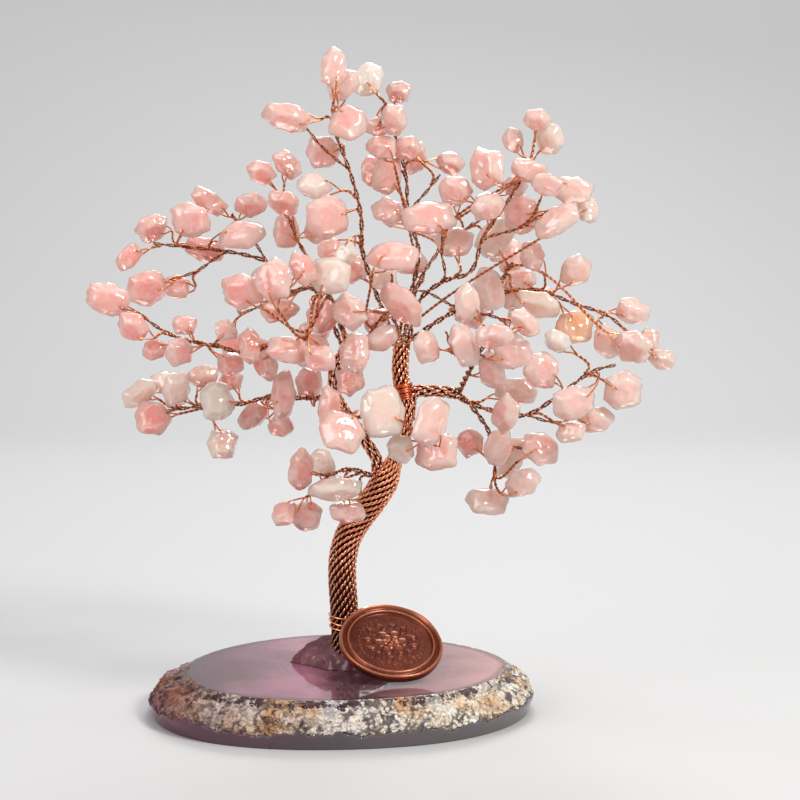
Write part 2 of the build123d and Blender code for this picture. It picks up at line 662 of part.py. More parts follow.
class Bundle:
    """A smooth line with a girth, which strands are laid round."""

    def __init__(self, route, radius, first_heading):
        self.route = route
        self.radius = radius
        last_heading = unit(route[-1] - route[-2])
        points = [vector(place) for place in route]
        self.line = Spline(*points, tangents=(vector(first_heading), vector(last_heading)))
        self.length = self.line.length

    def frame(self, way):
        """The centre, heading, side and back at a share of the length."""
        walked = way * self.length
        centre = np.array(tuple(self.line.position_at(walked, PositionMode.LENGTH)))
        heading = unit(np.array(tuple(self.line.tangent_at(walked, PositionMode.LENGTH))))
        return centre, heading, *sides_of(heading)

    def core(self, radius):
        rings = []
        for step in range(CORE_STEPS + 1):
            centre, heading, _, _ = self.frame(step / CORE_STEPS)
            rings.append(round_ring(centre, heading, radius, CORE_SIDES))
        return skin(rings)

    def strands(self, count, core_radius, pitch):
        """Strands of kite section, laid as a right-handed rope."""
        steps = ceil(360 * self.length / pitch / STRAND_STEP_DEGREES)
        inner = (core_radius + STRAND_FIT) / cos(radians(STRAND_STEP_DEGREES / 2))
        middle = (inner + self.radius) / 2
        half_angle = pi / count - STRAND_GAP / 2 / middle
        kite = ((inner, 0), (middle, -half_angle), (self.radius, 0), (middle, half_angle))
        frames = [self.frame(step / steps) for step in range(steps + 1)]
        solids = []
        for number in range(count):
            rings = []
            for step, (centre, _, side, back) in enumerate(frames):
                lay = 2 * pi * (number / count + self.length / pitch * step / steps)
                rings.append([
                    centre + reach * (side * cos(lay + turn) + back * sin(lay + turn))
                    for reach, turn in kite
                ])
            solids.append(kite_skin(rings))
        return solids


def off_the_side(bundle, way, target, girth, radius, gap):
    """Where a rod of some radius starts on its way from a bundle's side to a target."""
    centre, heading, _, _ = bundle.frame(way)
    leg = unit(target - centre)
    lean = angle_between(leg, heading)
    return centre + leg * (girth + gap + radius * abs(cos(lean))) / sin(lean)


def off_the_end(bundle, across, back_share, target, radius, gap):
    """Where a rod starts above a bundle's end, at shares of the bundle's radius."""
    end, heading, side, back = bundle.frame(1)
    seat = end + bundle.radius * (side * across + back * back_share)
    lean = angle_between(unit(target - seat), heading)
    return seat + heading * (gap + radius * sin(lean))


# Windings

def biarc(start, start_heading, end, end_heading):
    """Two arcs that leave and arrive with the given headings."""
    chord = end - start
    spread = 2 * (1 - np.dot(start_heading, end_heading))
    along = np.dot(chord, start_heading + end_heading)
    reach = (sqrt(along**2 + spread * np.dot(chord, chord)) - along) / spread
    middle = (start + end + reach * (start_heading - end_heading)) / 2
    first = TangentArc(vector(start), vector(middle), tangent=vector(start_heading))
    second = TangentArc(vector(middle), vector(end), tangent=first % 1)
    return [first, second]


def winding(bundle, way, pitch, turns, first_angle):
    """One unbroken wire wound round a bundle, and its path."""
    centre, axis, side, back = bundle.frame(way)
    radius = bundle.radius + WINDING_FIT + WINDING_WIRE / 2
    stations = []
    for half_turn in range(2 * turns + 1):
        angle = radians(first_angle) + pi * half_turn
        out = side * cos(angle) + back * sin(angle)
        forward = back * cos(angle) - side * sin(angle)
        place = centre + axis * pitch * (half_turn - turns) / 2 + out * radius
        stations.append((place, unit(forward * 2 * pi * radius + axis * pitch)))
    arcs = []
    for (place, heading), (next_place, next_heading) in pairwise(stations):
        arcs += biarc(place, heading, next_place, next_heading)
    path = Wire(arcs)
    section = Plane(origin=path @ 0, z_dir=path % 0) * RegularPolygon(WINDING_WIRE / 2, WINDING_SIDES)
    return sweep(section, path=path), path


def least_gap(path, turns):
    """The least room between a winding's turns, measured on points."""
    count = GAP_POINTS * turns
    points = [path @ (step / count) for step in range(count + 1)]
    apart = GAP_POINTS // 2
    gaps = [
        (points[later] - points[first]).length
        for first in range(count)
        for later in range(first + apart, count + 1)
    ]
    return min(gaps) - WINDING_WIRE


# Medallion

def medallion_frame():
    """The medallion's centre, and the directions of its face, its hinge and up its lean."""
    face = np.array((0, -cos(radians(MEDALLION_LEAN_DEGREES)), sin(radians(MEDALLION_LEAN_DEGREES))))
    face = turned(face, BACKWARDS, MEDALLION_TURN_DEGREES)
    across = unit(np.cross(UPWARDS, face))
    up = np.cross(face, across)
    rise = MEDALLION_RADIUS * up[2] + MEDALLION_THICKNESS / 2 * face[2]
    centre = np.array((MEDALLION_X, MEDALLION_Y, SLAB_THICKNESS + MEDALLION_SEAT + rise))
    return centre, face, across, up


def medallion():
    """A round seal with a raised rim and a sunken field with a raised middle."""
    centre, face, across, up = medallion_frame()
    half = MEDALLION_THICKNESS / 2
    field = half - MEDALLION_RIM_DEPTH
    inner = MEDALLION_RADIUS - MEDALLION_RIM
    rings = []
    for radius, height in (
        (MEDALLION_RADIUS - MEDALLION_STEP, -half),
        (MEDALLION_RADIUS, MEDALLION_STEP - half),
        (MEDALLION_RADIUS, half - 2 * MEDALLION_STEP),
        (MEDALLION_RADIUS - 2 * MEDALLION_STEP, half),
        (inner + MEDALLION_STEP, half),
        (inner, field),
        (MEDALLION_RING_RADIUS, field),
        (MEDALLION_RING_RADIUS - MEDALLION_STEP, field + MEDALLION_STEP),
    ):
        angles = [2 * pi * corner / MEDALLION_SIDES for corner in range(MEDALLION_SIDES)]
        rings.append([
            centre + face * height + radius * (across * cos(a) + up * sin(a)) for a in angles
        ])
    return skin(rings)


def hanging_wire(path):
    """The end of the tie wire, from its last turn to the medallion's upper edge."""
    centre, face, _, up = medallion_frame()
    half = WINDING_WIRE / 2
    start = np.array(tuple(path @ 1)) + np.array(tuple(path % 1)) * (WIRE_GAP + half)
    rim = centre + up * (MEDALLION_RADIUS + MEDALLION_SEAT + half) - face * MEDALLION_THICKNESS / 4
    crest = (start + rim) / 2 + UPWARDS * HANGER_CREST
    return tapered_rod([start, crest, rim], half, half, WINDING_SIDES)


# Chips: where each one hangs and how it is turned

class Chip:
    def __init__(self, bough, number, shares, bough_depth):
        across, up, nests, long_share, wide_share, rise = shares
        self.bough = bough
        self.number = number
        self.across = across
        self.up = up
        self.y = bough_depth + nests * NEST_DEPTH
        self.outline = STONE_SHARES[number % len(STONE_SHARES)]
        width = CHIP_WIDTH * wide_share
        thickness = min(CHIP_THICKNESS, width * THICKNESS_LIMIT_SHARE)
        self.half = np.array((CHIP_LENGTH * long_share, width, thickness)) / 2
        self.length = turned(RIGHTWARDS, BACKWARDS, -rise)
        face = turned(-BACKWARDS, self.length, ROLL_DEGREES[number % len(ROLL_DEGREES)])
        self.width = np.cross(face, self.length)
        nod = NOD_DEGREES[number % len(NOD_DEGREES)]
        self.length = turned(self.length, self.width, nod)
        self.face = turned(face, self.width, nod)
        self.axes = np.array((self.length, self.width, self.face))
        self.reach = (self.half[0] + self.half[1]) / 2
        self.half_depth = np.linalg.norm(self.half * self.axes[:, 1])

    @property
    def centre(self):
        return sight(self.across, self.up, self.y)

    def outline_reach(self, flat):
        """How far the outline reaches from the middle in a direction in its plane."""
        heading = np.array((np.dot(flat, self.length), np.dot(flat, self.width)))
        corners = [np.array(corner) * self.half[:2] for corner in self.outline]
        for a, b in zip(corners, shifted(corners)):
            edge = b - a
            turn = heading[0] * edge[1] - heading[1] * edge[0]
            reach = (a[0] * edge[1] - a[1] * edge[0]) / turn
            way = (a[0] * heading[1] - a[1] * heading[0]) / turn
            if reach > 0 and 0 <= way <= 1:
                return reach
        return self.reach

    def bow(self, foot):
        """Where the bow passes through the chip and leaves it towards a foot."""
        towards = foot - self.centre
        flat = unit(towards - self.face * np.dot(towards, self.face))
        reach = self.outline_reach(flat)
        bore = self.centre + flat * reach * BORE_PLACE_SHARE
        throat = self.centre + flat * (reach + BOW_REACH)
        cap = reach * FRONT_CAP_SHARE + CAP_SHIFT_SHARE * self.half[0] - reach * BORE_PLACE_SHARE
        run = reach + BOW_REACH - reach * BORE_PLACE_SHARE
        stand = BOW_THROAT + (self.half[2] + BOW_CLEARANCE - BOW_THROAT) / (1 - cap / run)
        return Bow(flat, bore, throat, self.face, stand)

    def solid(self, bore):
        """A faceted stone with a bore through its thickness."""
        rings = []
        for side, cap in ((-1, BACK_CAP_SHARE), (0, 1), (1, FRONT_CAP_SHARE)):
            ring = []
            for (long_share, wide_share), lift in zip(self.outline, RIM_LIFT_SHARES):
                along = (long_share * cap + CAP_SHIFT_SHARE * side) * self.half[0]
                across = wide_share * cap * self.half[1]
                height = self.half[2] * (side if side else lift)
                ring.append(self.centre + self.length * along + self.width * across + self.face * height)
            rings.append(ring)
        through = 2 * self.face * self.half[2]
        return skin(rings) - prism(bore - through, bore + through, BORE_RADIUS, BORE_SIDES)


def beads_along(rods):
    """Points along rods: body, place, radius, heading, walk from the root, and whether it is a tip."""
    beads = []
    for name, route, first_radius, last_radius in rods:
        whole = sum(dist(a, b) for a, b in pairwise(route))
        walked = 0
        for a, b in pairwise(route):
            steps = ceil(dist(a, b) / FOOT_SPACING)
            for step in range(steps):
                walk = walked + dist(a, b) * step / steps
                radius = first_radius + (last_radius - first_radius) * walk / whole
                beads.append((name, a + (b - a) * step / steps, radius, unit(b - a), walk, False))
            walked += dist(a, b)
        beads.append((name, route[-1], last_radius, unit(route[-1] - route[-2]), walked, True))
    return beads


def ellipse_share(gaps, reaches):
    """How thick two round-edged things stand against each other, by how far apart they are."""
    return np.sqrt(1 - np.clip(gaps / reaches, 0, 1) ** 2)


def settle(chips, beads, roots):
    """Push chips apart along their lines of sight until none would touch another or a rod."""
    centres = np.array([chip.centre for chip in chips])
    depths = centres[:, 1]
    reach = np.array([chip.reach for chip in chips])
    half = np.array([chip.half_depth for chip in chips])
    names = np.array([chip.bough for chip in chips])
    sway = np.array([dist(chip.centre, roots[chip.bough]) for chip in chips]) * radians(BEND_DEGREES)
    order = np.arange(len(chips))

    flat = centres[:, (0, 2)]
    strangers = names[:, None] != names[None, :]
    gaps = np.linalg.norm(flat[:, None] - flat[None, :], axis=2)
    gaps = gaps - strangers * np.maximum(sway[:, None], sway[None, :])
    need = half[:, None] + half[None, :] + CHIP_GAP
    need = need * ellipse_share(gaps, reach[:, None] + reach[None, :])
    np.fill_diagonal(need, 0)

    rod_names, rod_places, rod_radii, _, _, _ = zip(*beads)
    rod_places = np.array(rod_places)
    rod_radii = np.array(rod_radii)
    strangers = names[:, None] != np.array(rod_names)[None, :]
    gaps = np.linalg.norm(flat[:, None] - rod_places[None, :, (0, 2)], axis=2)
    gaps = gaps - strangers * sway[:, None]
    rod_need = half[:, None] + rod_radii[None, :] + CHIP_GAP
    rod_need = rod_need * ellipse_share(gaps, reach[:, None] + rod_radii[None, :])

    for _ in range(SETTLE_ROUNDS):
        offset = depths[:, None] - depths[None, :]
        side = np.where(offset == 0, np.sign(order[:, None] - order[None, :]), np.sign(offset))
        short = np.maximum(0, need - abs(offset))
        depths = depths + (side * short).sum(axis=1) / np.maximum(2, (short > 0).sum(axis=1)) / 2
        offset = depths[:, None] - rod_places[None, :, 1]
        short = np.maximum(0, rod_need - abs(offset))
        worst = short.argmax(axis=1)
        depths = depths + (np.sign(offset) * short)[order, worst] / 2
    for chip, depth in zip(chips, depths):
        chip.y = float(depth)


# Stems and bows

class Bow:
    """A wire of three sides, from its throat through a chip's bore and back."""

    def __init__(self, flat, bore, throat, face, stand):
        self.flat = flat
        self.bore = bore
        self.throat = throat
        self.face = face
        self.stand = stand

    def route(self):
        return [
            self.throat + self.face * BOW_THROAT,
            self.bore + self.face * self.stand,
            self.bore - self.face * self.stand,
            self.throat - self.face * BOW_THROAT,
        ]

    def solid(self):
        route = self.route()
        sideways = np.cross(self.face, self.flat)
        normals = [unit(np.cross(b - a, sideways)) for a, b in pairwise(route)]
        mitres = [(a + b) / (1 + np.dot(a, b)) for a, b in pairwise(normals)]
        ends = [self.face / np.dot(normal, self.face) for normal in (normals[0], normals[-1])]
        rings = []
        for place, outwards in zip(route, [ends[0], *mitres, ends[1]]):
            ring = []
            for corner in range(WIRE_SIDES):
                angle = 2 * pi * corner / WIRE_SIDES
                high = WIRE_WIDTH / 2 * cos(angle)
                wide = WIRE_WIDTH / 2 * sin(angle)
                ring.append(place + outwards * high + sideways * wide)
            rings.append(ring)
        return skin(rings)


def points_between(start, end):
    return [start + (end - start) * step / SEARCH_STEPS for step in range(SEARCH_STEPS + 1)]


def chip_room(chips, own, points):
    """The least room between some points and every chip but one's own."""
    local = points[:, None, :] - np.array([chip.centre for chip in chips])[None, :, :]
    axes = np.array([chip.axes for chip in chips])
    half = np.array([chip.half for chip in chips])
    shares = np.einsum("pci,cji->pcj", local, axes) / half[None, :, :]
    room = (np.linalg.norm(shares, axis=2) - CORNER_SHARE) * half[None, :, 2]
    room[:, own] = CROWN_RADIUS
    return room.min()


def segment_room(points, segments):
    """The least room between some points and round segments (start, end, radius)."""
    starts = np.array([segment[0] for segment in segments])
    runs = np.array([segment[1] for segment in segments]) - starts
    radii = np.array([segment[2] for segment in segments])
    local = points[:, None, :] - starts[None, :, :]
    way = np.clip(np.einsum("psi,si->ps", local, runs) / (runs**2).sum(axis=1), 0, 1)
    away = local - way[:, :, None] * runs[None, :, :]
    return (np.linalg.norm(away, axis=2) - radii[None, :]).min()


def hang(chip, chips, beads, segments):
    """The clearest and shortest stem from a chip's own bough: its room, start, end and bow."""
    half = STEM_WIDTH / 2
    best = None
    for name, foot, radius, heading, walk, is_tip in beads:
        if name != chip.bough or walk < BARE_ROOT:
            continue
        bow = chip.bow(foot)
        stem = unit(bow.throat - foot)
        lean = angle_between(stem, heading)
        if is_tip and lean < radians(TIP_LEAN_MOST_DEGREES):
            start = foot + stem * (WIRE_GAP + half * sin(lean)) / cos(lean)
            clear = start + stem * (radius + half)
        elif radians(LEAN_LEAST_DEGREES) < lean < radians(LEAN_MOST_DEGREES):
            start = foot + stem * (radius + WIRE_GAP + half * abs(cos(lean))) / sin(lean)
            clear = start + stem * half
        else:
            continue
        kink = angle_between(stem, -bow.flat)
        end = bow.throat - stem * (WIRE_GAP + (half + BOW_THROAT + WIRE_WIDTH / 2) * sin(kink))
        if np.dot(end - start, stem) < STEM_WIDTH:
            continue
        route = bow.route()
        arms = [(route[0], route[1], WIRE_WIDTH / 2), (route[2], route[3], WIRE_WIDTH / 2)]
        stem_points = np.array(points_between(clear, end))
        bow_points = np.array(points_between(*arms[0][:2]) + points_between(*arms[1][:2]))
        rooms = (
            chip_room(chips, chip.number, stem_points) - half,
            segment_room(stem_points, segments) - half,
            segment_room(np.array(points_between(clear, end - stem * STEM_WIDTH)), arms) - half,
            chip_room(chips, chip.number, bow_points) - WIRE_WIDTH / 2,
            segment_room(bow_points, segments) - WIRE_WIDTH / 2,
        )
        shortfall = sum(max(0, WIRE_GAP - room) for room in rooms) / WIRE_GAP
        cost = dist(start, end) + kink * STEM_WIDTH + shortfall * CROWN_RADIUS
        if best is None or cost < best[0]:
            best = (cost, min(rooms), start, end, bow)
    if best is None:
        raise ValueError(f"{chip.bough}: no stem reaches the chip at {chip.across}, {chip.up}")
    return best[1:]


# Boughs

def bough_rods(name, shares, bundles):
    """Routes of a bough and its side twigs with their first and last radii."""
    main, *twigs = [places(route) for route in shares["rods"]]
    bundle_name, way, across, back = shares["seat"]
    bundle = bundles[bundle_name]
    if way == 1:
        root = off_the_end(bundle, across, back, main[0], BOUGH_RADIUS, ROOT_GAP)
    else:
        root = off_the_side(bundle, way, main[0], bundle.radius, BOUGH_RADIUS, ROOT_GAP)
    main = [root, *main]
    rods = [(name, main, BOUGH_RADIUS, TWIG_RADIUS)]
    for twig in twigs:
        joint = min(range(1, len(main) - 1), key=lambda place: dist(main[place], twig[0]))
        heading = unit(main[joint + 1] - main[joint - 1])
        leg = unit(twig[1] - main[joint])
        lean = max(angle_between(leg, heading), radians(LEAN_LEAST_DEGREES))
        girth = BOUGH_RADIUS + (TWIG_RADIUS - BOUGH_RADIUS) * joint / (len(main) - 1)
        start = main[joint] + leg * (girth + WIRE_GAP + TWIG_RADIUS * cos(lean)) / sin(lean)
        rods.append((name, [start, *twig[1:]], TWIG_RADIUS, TWIG_RADIUS))
    return rods


def bough_depth(beads, name, across, up):
    """The depth of a bough where it passes nearest to a chip's apparent place."""
    own = [bead[1] for bead in beads if bead[0] == name]
    nearest = min(own, key=lambda place: dist(place[[0, 2]], sight(across, up, place[1])[[0, 2]]))
    return nearest[1]


def save(name, shapes):
    solids = [Solid(solid.wrapped) for shape in shapes for solid in shape.solids()]
    export_step(Compound(children=solids), f"parts/{name}.step")


def main():
    os.makedirs("parts", exist_ok=True)
    trunk_route = places(TRUNK_SHARES)
    trunk_route[0][2] = SLAB_THICKNESS + STRAND_FIT
    trunk = Bundle(trunk_route, TRUNK_RADIUS, UPWARDS)
    top, heading, _, _ = trunk.frame(1)
    neck = Bundle([top + heading * STRAND_FIT, *places(NECK_SHARES)], NECK_RADIUS, heading)
    fork_route = places(LEFT_FORK_SHARES)
    fork_root = off_the_side(trunk, LEFT_FORK_WAY_SHARE, fork_route[0], TRUNK_RADIUS, FORK_RADIUS, STRAND_FIT)
    left_fork = Bundle([fork_root, *fork_route], FORK_RADIUS, unit(fork_route[0] - fork_root))
    fork_route = places(RIGHT_FORK_SHARES)
    girth = NECK_RADIUS + WINDING_FIT + WINDING_WIRE
    fork_root = off_the_side(neck, RIGHT_FORK_WAY_SHARE, fork_route[0], girth, FORK_RADIUS, STRAND_FIT)
    right_fork = Bundle([fork_root, *fork_route], FORK_RADIUS, unit(fork_route[0] - fork_root))
    bundles = {"trunk": trunk, "neck": neck, "left_fork": left_fork, "right_fork": right_fork}

    binding, binding_path = winding(neck, RIGHT_FORK_WAY_SHARE, BINDING_PITCH, BINDING_TURNS, 0)
    tie, tie_path = winding(trunk, TIE_WAY_SHARE, TIE_PITCH, TIE_TURNS, TIE_DEGREES)
    print(f"binding's least gap {least_gap(binding_path, BINDING_TURNS):.2f}")
    print(f"tie wire's least gap {least_gap(tie_path, TIE_TURNS):.2f}")
    save("agate_slab", [agate_slab()])
    save("foot_mound", [foot_mound(trunk)])
    save("trunk_core", [trunk.core(TRUNK_CORE_RADIUS)])
    save("neck_core", [neck.core(NECK_CORE_RADIUS)])
    save("trunk_strands", trunk.strands(TRUNK_STRANDS, TRUNK_CORE_RADIUS, TRUNK_PITCH))
    save("neck_strands", neck.strands(NECK_STRANDS, NECK_CORE_RADIUS, NECK_PITCH))
    save("left_fork", left_fork.strands(FORK_STRANDS, STRAND_FIT, FORK_PITCH))
    save("right_fork", right_fork.strands(FORK_STRANDS, STRAND_FIT, FORK_PITCH))
    save("fork_binding", [binding])
    save("tie_wire", [tie])
    save("hanging_wire", [hanging_wire(tie_path)])
    save("medallion", [medallion()])
    centre, _, across, up = medallion_frame()
    print("medallion pivot", (centre + up * MEDALLION_RADIUS).round(3), "axis", (-across).round(5))

    rods = []
    for name, shares in BOUGH_SHARES.items():
        rods += bough_rods(name, shares, bundles)
    roots = {}
    for name, route, _, _ in rods:
        roots.setdefault(name, route[0])
    static = [("tree", bundle.route, bundle.radius, bundle.radius) for bundle in bundles.values()]
    beads = beads_along(rods + static)
    chips = []
    for name, shares in BOUGH_SHARES.items():
        for chip_shares in shares["chips"]:
            depth = bough_depth(beads, name, chip_shares[0], chip_shares[1])
            chips.append(Chip(name, len(chips), chip_shares, depth))
    settle(chips, beads, roots)

    segments = []
    for _, route, first_radius, last_radius in rods + static:
        shrink = (first_radius - last_radius) / (len(route) - 1)
        for number, (a, b) in enumerate(pairwise(route)):
            segments.append((a, b, first_radius - shrink * number))
    for name in BOUGH_SHARES:
        bough_solids = [tapered_rod(*rod[1:], BOUGH_SIDES) for rod in rods if rod[0] == name]
        bow_solids = []
        chip_solids = []
        for chip in [chip for chip in chips if chip.bough == name]:
            room, start, end, bow = hang(chip, chips, beads, segments)
            if room < 0:
                print(f"{name}: chip at {chip.across}, {chip.up} is short of room by {-room:.2f}")
            segments.append((start, end, STEM_WIDTH / 2))
            segments += [(a, b, WIRE_WIDTH / 2) for a, b in pairwise(bow.route())]
            bough_solids.append(prism(start, end, STEM_WIDTH / 2, STEM_SIDES))
            bow_solids.append(bow.solid())
            chip_solids.append(chip.solid(bow.bore))
        save(f"{name}_bough", bough_solids)
        save(f"{name}_bows", bow_solids)
        save(f"{name}_chips", chip_solids)
        print(f"{name} pivot", roots[name].round(3), "chips", len(chip_solids))


main()
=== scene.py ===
from itertools import pairwise
from math import ceil, cos, pi, radians, sin

import bmesh
import bpy
import numpy as np
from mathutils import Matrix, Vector, noise
from numpy.linalg import norm


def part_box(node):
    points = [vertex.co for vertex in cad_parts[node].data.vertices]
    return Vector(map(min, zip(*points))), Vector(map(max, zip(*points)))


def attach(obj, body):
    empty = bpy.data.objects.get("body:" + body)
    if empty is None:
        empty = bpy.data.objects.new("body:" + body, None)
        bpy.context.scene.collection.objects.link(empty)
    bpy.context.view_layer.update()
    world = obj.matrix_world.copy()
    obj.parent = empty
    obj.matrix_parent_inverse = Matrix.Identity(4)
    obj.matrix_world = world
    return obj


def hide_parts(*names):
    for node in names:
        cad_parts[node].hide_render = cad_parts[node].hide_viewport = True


# A gemstone tree ornament: drilled stones on twisted copper wire, over an agate slab.
# Places and sizes are in millimetres until a mesh is made from them.
MM = 0.001
UPWARDS = np.array((0, 0, 1))
RIGHTWARDS = np.array((1, 0, 0))

# Camera, at the height of the crown, and its lens
CAMERA_PLACE = (18.3, -600, 139)
CAMERA_PITCH_DEGREES = 4.29
CAMERA_LENS = 90.4
CAMERA_SENSOR = 36
CAMERA_NEAR = 0.01

# How the solids are read
WELD_DIGITS = 3
COPLANAR_COSINE = 0.99995
ROD_SIDES = 5
CORE_SIDES = 8
WIRE_SIDES = 3
STEM_POINTS = 6

# Twisted wire: wire radius, how far apart its turns lie, and how finely it is drawn
STEM_WIRE = 0.27
STEM_PITCH = 3.3
STEM_TUCK = 2.4
STRAND_PITCH = 3.2
ROD_PITCH = 9.0
ROD_STRANDS = 2
ROD_TUCK = 1.6
TWIST_STEPS = 8
TUBE_SIDES = 6
CORNER_ROUNDS = 3
CORNER_CUT_SHARE = 0.25
STEEP_COSINE = 0.9
STEM_SIDE_SHARE = 0.4
STEM_STRAIGHT = 0.5
BOW_SMOOTHINGS = 2

# Trunk
TRUNK_STRANDS = 12
NECK_STRANDS = 8
FORK_STRANDS = 5
TRUNK_PITCH = 30.0
NECK_PITCH = 24.0
FORK_PITCH = 20.0

# How far the trunk narrows at its top, and how far what forks off it runs down inside it
TRUNK_TAPER = 7.0
TRUNK_TAPER_SHARE = 0.4
NECK_TUCK = 5.0
FORK_TUCK = 8.0
FORK_TUCK_OUT = 1.2
STRAND_RADIUS = 0.66
KITE_SIDES = 4

# How the trunk darkens towards its foot, and the straight wires inside it
FOOT_SHADE = 0.72
FOOT_LOW = 22.0
FOOT_RISE = 45.0
CORE_WIRES = 12

# Windings
WINDING_STEPS = 24
BINDING = dict(turns=8, wire=0.32, wobble=0.35, tilt=0.12, start=0.4)
TIE = dict(turns=3, wire=0.28, wobble=0.8, tilt=1.3, start=2.0)
DRIFT_FINENESS = 1.7
DRIFT_LIFT_SHARE = 0.3
TILT_TURN_SHARE = 0.93
HANGER_STEP = 0.4

# Agate slab: how finely it is drawn and how rough its crust is
SLAB_COLUMNS = 720
SLAB_ROWS = 44
SLAB_SMOOTHING = 9
SLAB_LEVEL_DIGITS = 1
SLAB_EDGE_WAVE = 1.9
SLAB_EDGE_NOISES = ((4.0, 1.0), (13.0, 0.7), (48.0, 0.5))
SLAB_BROW_WAVE = 1.6
SLAB_BROW_FINENESS = 17.0
SLAB_EDGE_FADE = 0.5
SLAB_BROW_FADE = 0.7
SLAB_EDGE_GAPS = 2.2
SLAB_BROW_GAPS = 3.4
SLAB_BARE = 0.5
SLAB_GRAIN = 1.9
SLAB_KNOBS = ((2.9, 0.6), (1.2, 0.4))
SLAB_KNOB_REACH = 0.75
SLAB_SAG_SHARE = 0.3
SLAB_TOP_SHARES = (0.99, 0.98, 0.965, 0.95, 0.93, 0.9, 0.85, 0.75, 0.6, 0.4, 0.2)
SLAB_RIM_SHARE = 0.03
SLAB_RIM_WAVE = 0.9
SLAB_RIM_FINENESS = 7.0
SLAB_RIM_START = 4
SLAB_RIM_CHANGE = 9

# Agate's tones from left to right: polished, with a painted reflection of a pink wall on the left and a
# painted dark reflection and shadow of the crown in the middle; under the crust; the crust, darker towards
# the left; then its patches
AGATE_AND_REFLECTION_TONES = (
    (0.0, (0.030, 0.006, 0.012)), (0.2, (0.10, 0.025, 0.046)), (0.42, (0.36, 0.135, 0.205)),
    (0.52, (0.075, 0.024, 0.035)), (0.62, (0.065, 0.024, 0.032)), (0.74, (0.27, 0.125, 0.13)),
    (1.0, (0.62, 0.34, 0.33)),
)
BAND_TONES = ((0.0, (0.115, 0.03, 0.055)), (0.4, (0.085, 0.066, 0.072)), (1.0, (0.14, 0.125, 0.13)))
CRUST_ACROSS_TONES = ((0.0, (0.34, 0.17, 0.19)), (0.42, (0.84, 0.79, 0.77)), (0.8, (0.99, 1.0, 1.0)))
RIND_TONES = (
    (0.30, (0.42, 0.20, 0.09)), (0.39, (0.72, 0.46, 0.25)), (0.47, (0.84, 0.72, 0.56)),
    (0.60, (0.88, 0.85, 0.80)), (0.72, (0.56, 0.58, 0.62)),
)

# Foot mound, in shares of its half width, half depth and height
MOUND_COLUMNS = 160
MOUND_ROWS = 28
MOUND_ROUND_SHARE = 0.3
MOUND_UPWARD_SHARE = 0.4
MOUND_FACET = 4.2
MOUND_FACET_LIFT = 0.9
MOUND_FACET_LEVEL = 0.35
MOUND_GRAIN = 1.8
MOUND_GRAIN_LIFT = 0.3
MOUND_SHARES = (
    (1.0, 0.0), (0.78, 0.62), (0.3, 0.95), (-0.25, 0.9), (-0.7, 0.6),
    (-1.0, 0.25), (-0.62, -0.3), (-0.35, -0.85), (0.25, -1.0), (0.8, -0.6),
)
MOUND_LEVEL_SHARES = ((0, 1.0), (0.3, 0.9), (0.62, 0.7), (0.88, 0.46), (1.0, 0.22))
RESIN_TONES = ((0.3, (0.12, 0.028, 0.036)), (0.55, (0.25, 0.075, 0.095)), (0.75, (0.48, 0.24, 0.27)))

# Medallion: its profile in shares of its radius and half its thickness, and its flower
MEDALLION_COLUMNS = 360
MEDALLION_STEP = 0.16
MEDALLION_EDGE_SHARE = 0.8
MEDALLION_EDGE_FADE = 0.2
MEDALLION_SHRINK_SHARE = 0.008
MEDALLION_WAVE_SHARES = ((0.007, 3, 1), (0.005, 7, 0))
MEDALLION_SHARES = (
    (0.02, -1.0), (0.9, -1.0), (0.97, -0.82), (0.998, -0.3), (1.0, 0.35), (0.992, 0.8),
    (0.972, 1.0), (0.945, 0.82), (0.915, 0.46), (0.885, 0.36), (0.86, 0.5), (0.842, 0.8),
    (0.823, 0.9), (0.805, 0.74), (0.793, 0.36), (0.775, 0.22), (0.75, 0.2), (0.02, 0.2),
)

# Rings of petals: how many, how far out, half length, half width, height and turn
PETAL_RINGS = (
    (6, 3.5, 1.9, 1.75, 0.62, 0.0), (5, 1.9, 1.35, 1.25, 0.86, 0.5), (3, 0.75, 0.75, 0.7, 1.05, 0.2),
)

# Leaves and beads round the petals
LEAF_COUNT = 12
LEAF_RING_RADIUS = 6.9
LEAF_LEAN = 0.5
LEAF_REACH = 1.75
LEAF_WIDTH = 0.95
LEAF_LIFT = 0.6
LEAF_POINT = 1.5
LEAF_VEIN_WIDTH = 0.2
LEAF_VEIN_DEPTH = 0.4
BEAD_COUNT = 34
BEAD_RING_RADIUS = 9.5
BEAD_RADIUS = 0.46
WAX_TONES = ((0.3, (0.075, 0.014, 0.007)), (0.6, (0.13, 0.026, 0.012)), (0.8, (0.20, 0.046, 0.022)))

# The crown's places, as shares of its radius, seen from the camera
CROWN_RADIUS = 90.0
CROWN_X = 12.3
CROWN_Z = 127.0

# Stones: how sharp their edges are, how rough, and how finely they are drawn
STONE_SUBDIVISIONS = 4
STONE_SHARPNESS = (11.0, 30.0)
STONE_SWELL = 1.07
STONE_WAVE_SHARES = ((1.2, 0.11), (2.4, 0.07), (5.0, 0.02))
STONE_EDGE_LOW = 0.9
STONE_FACE_COSINE = 0.995
NOISE_REACH = 100

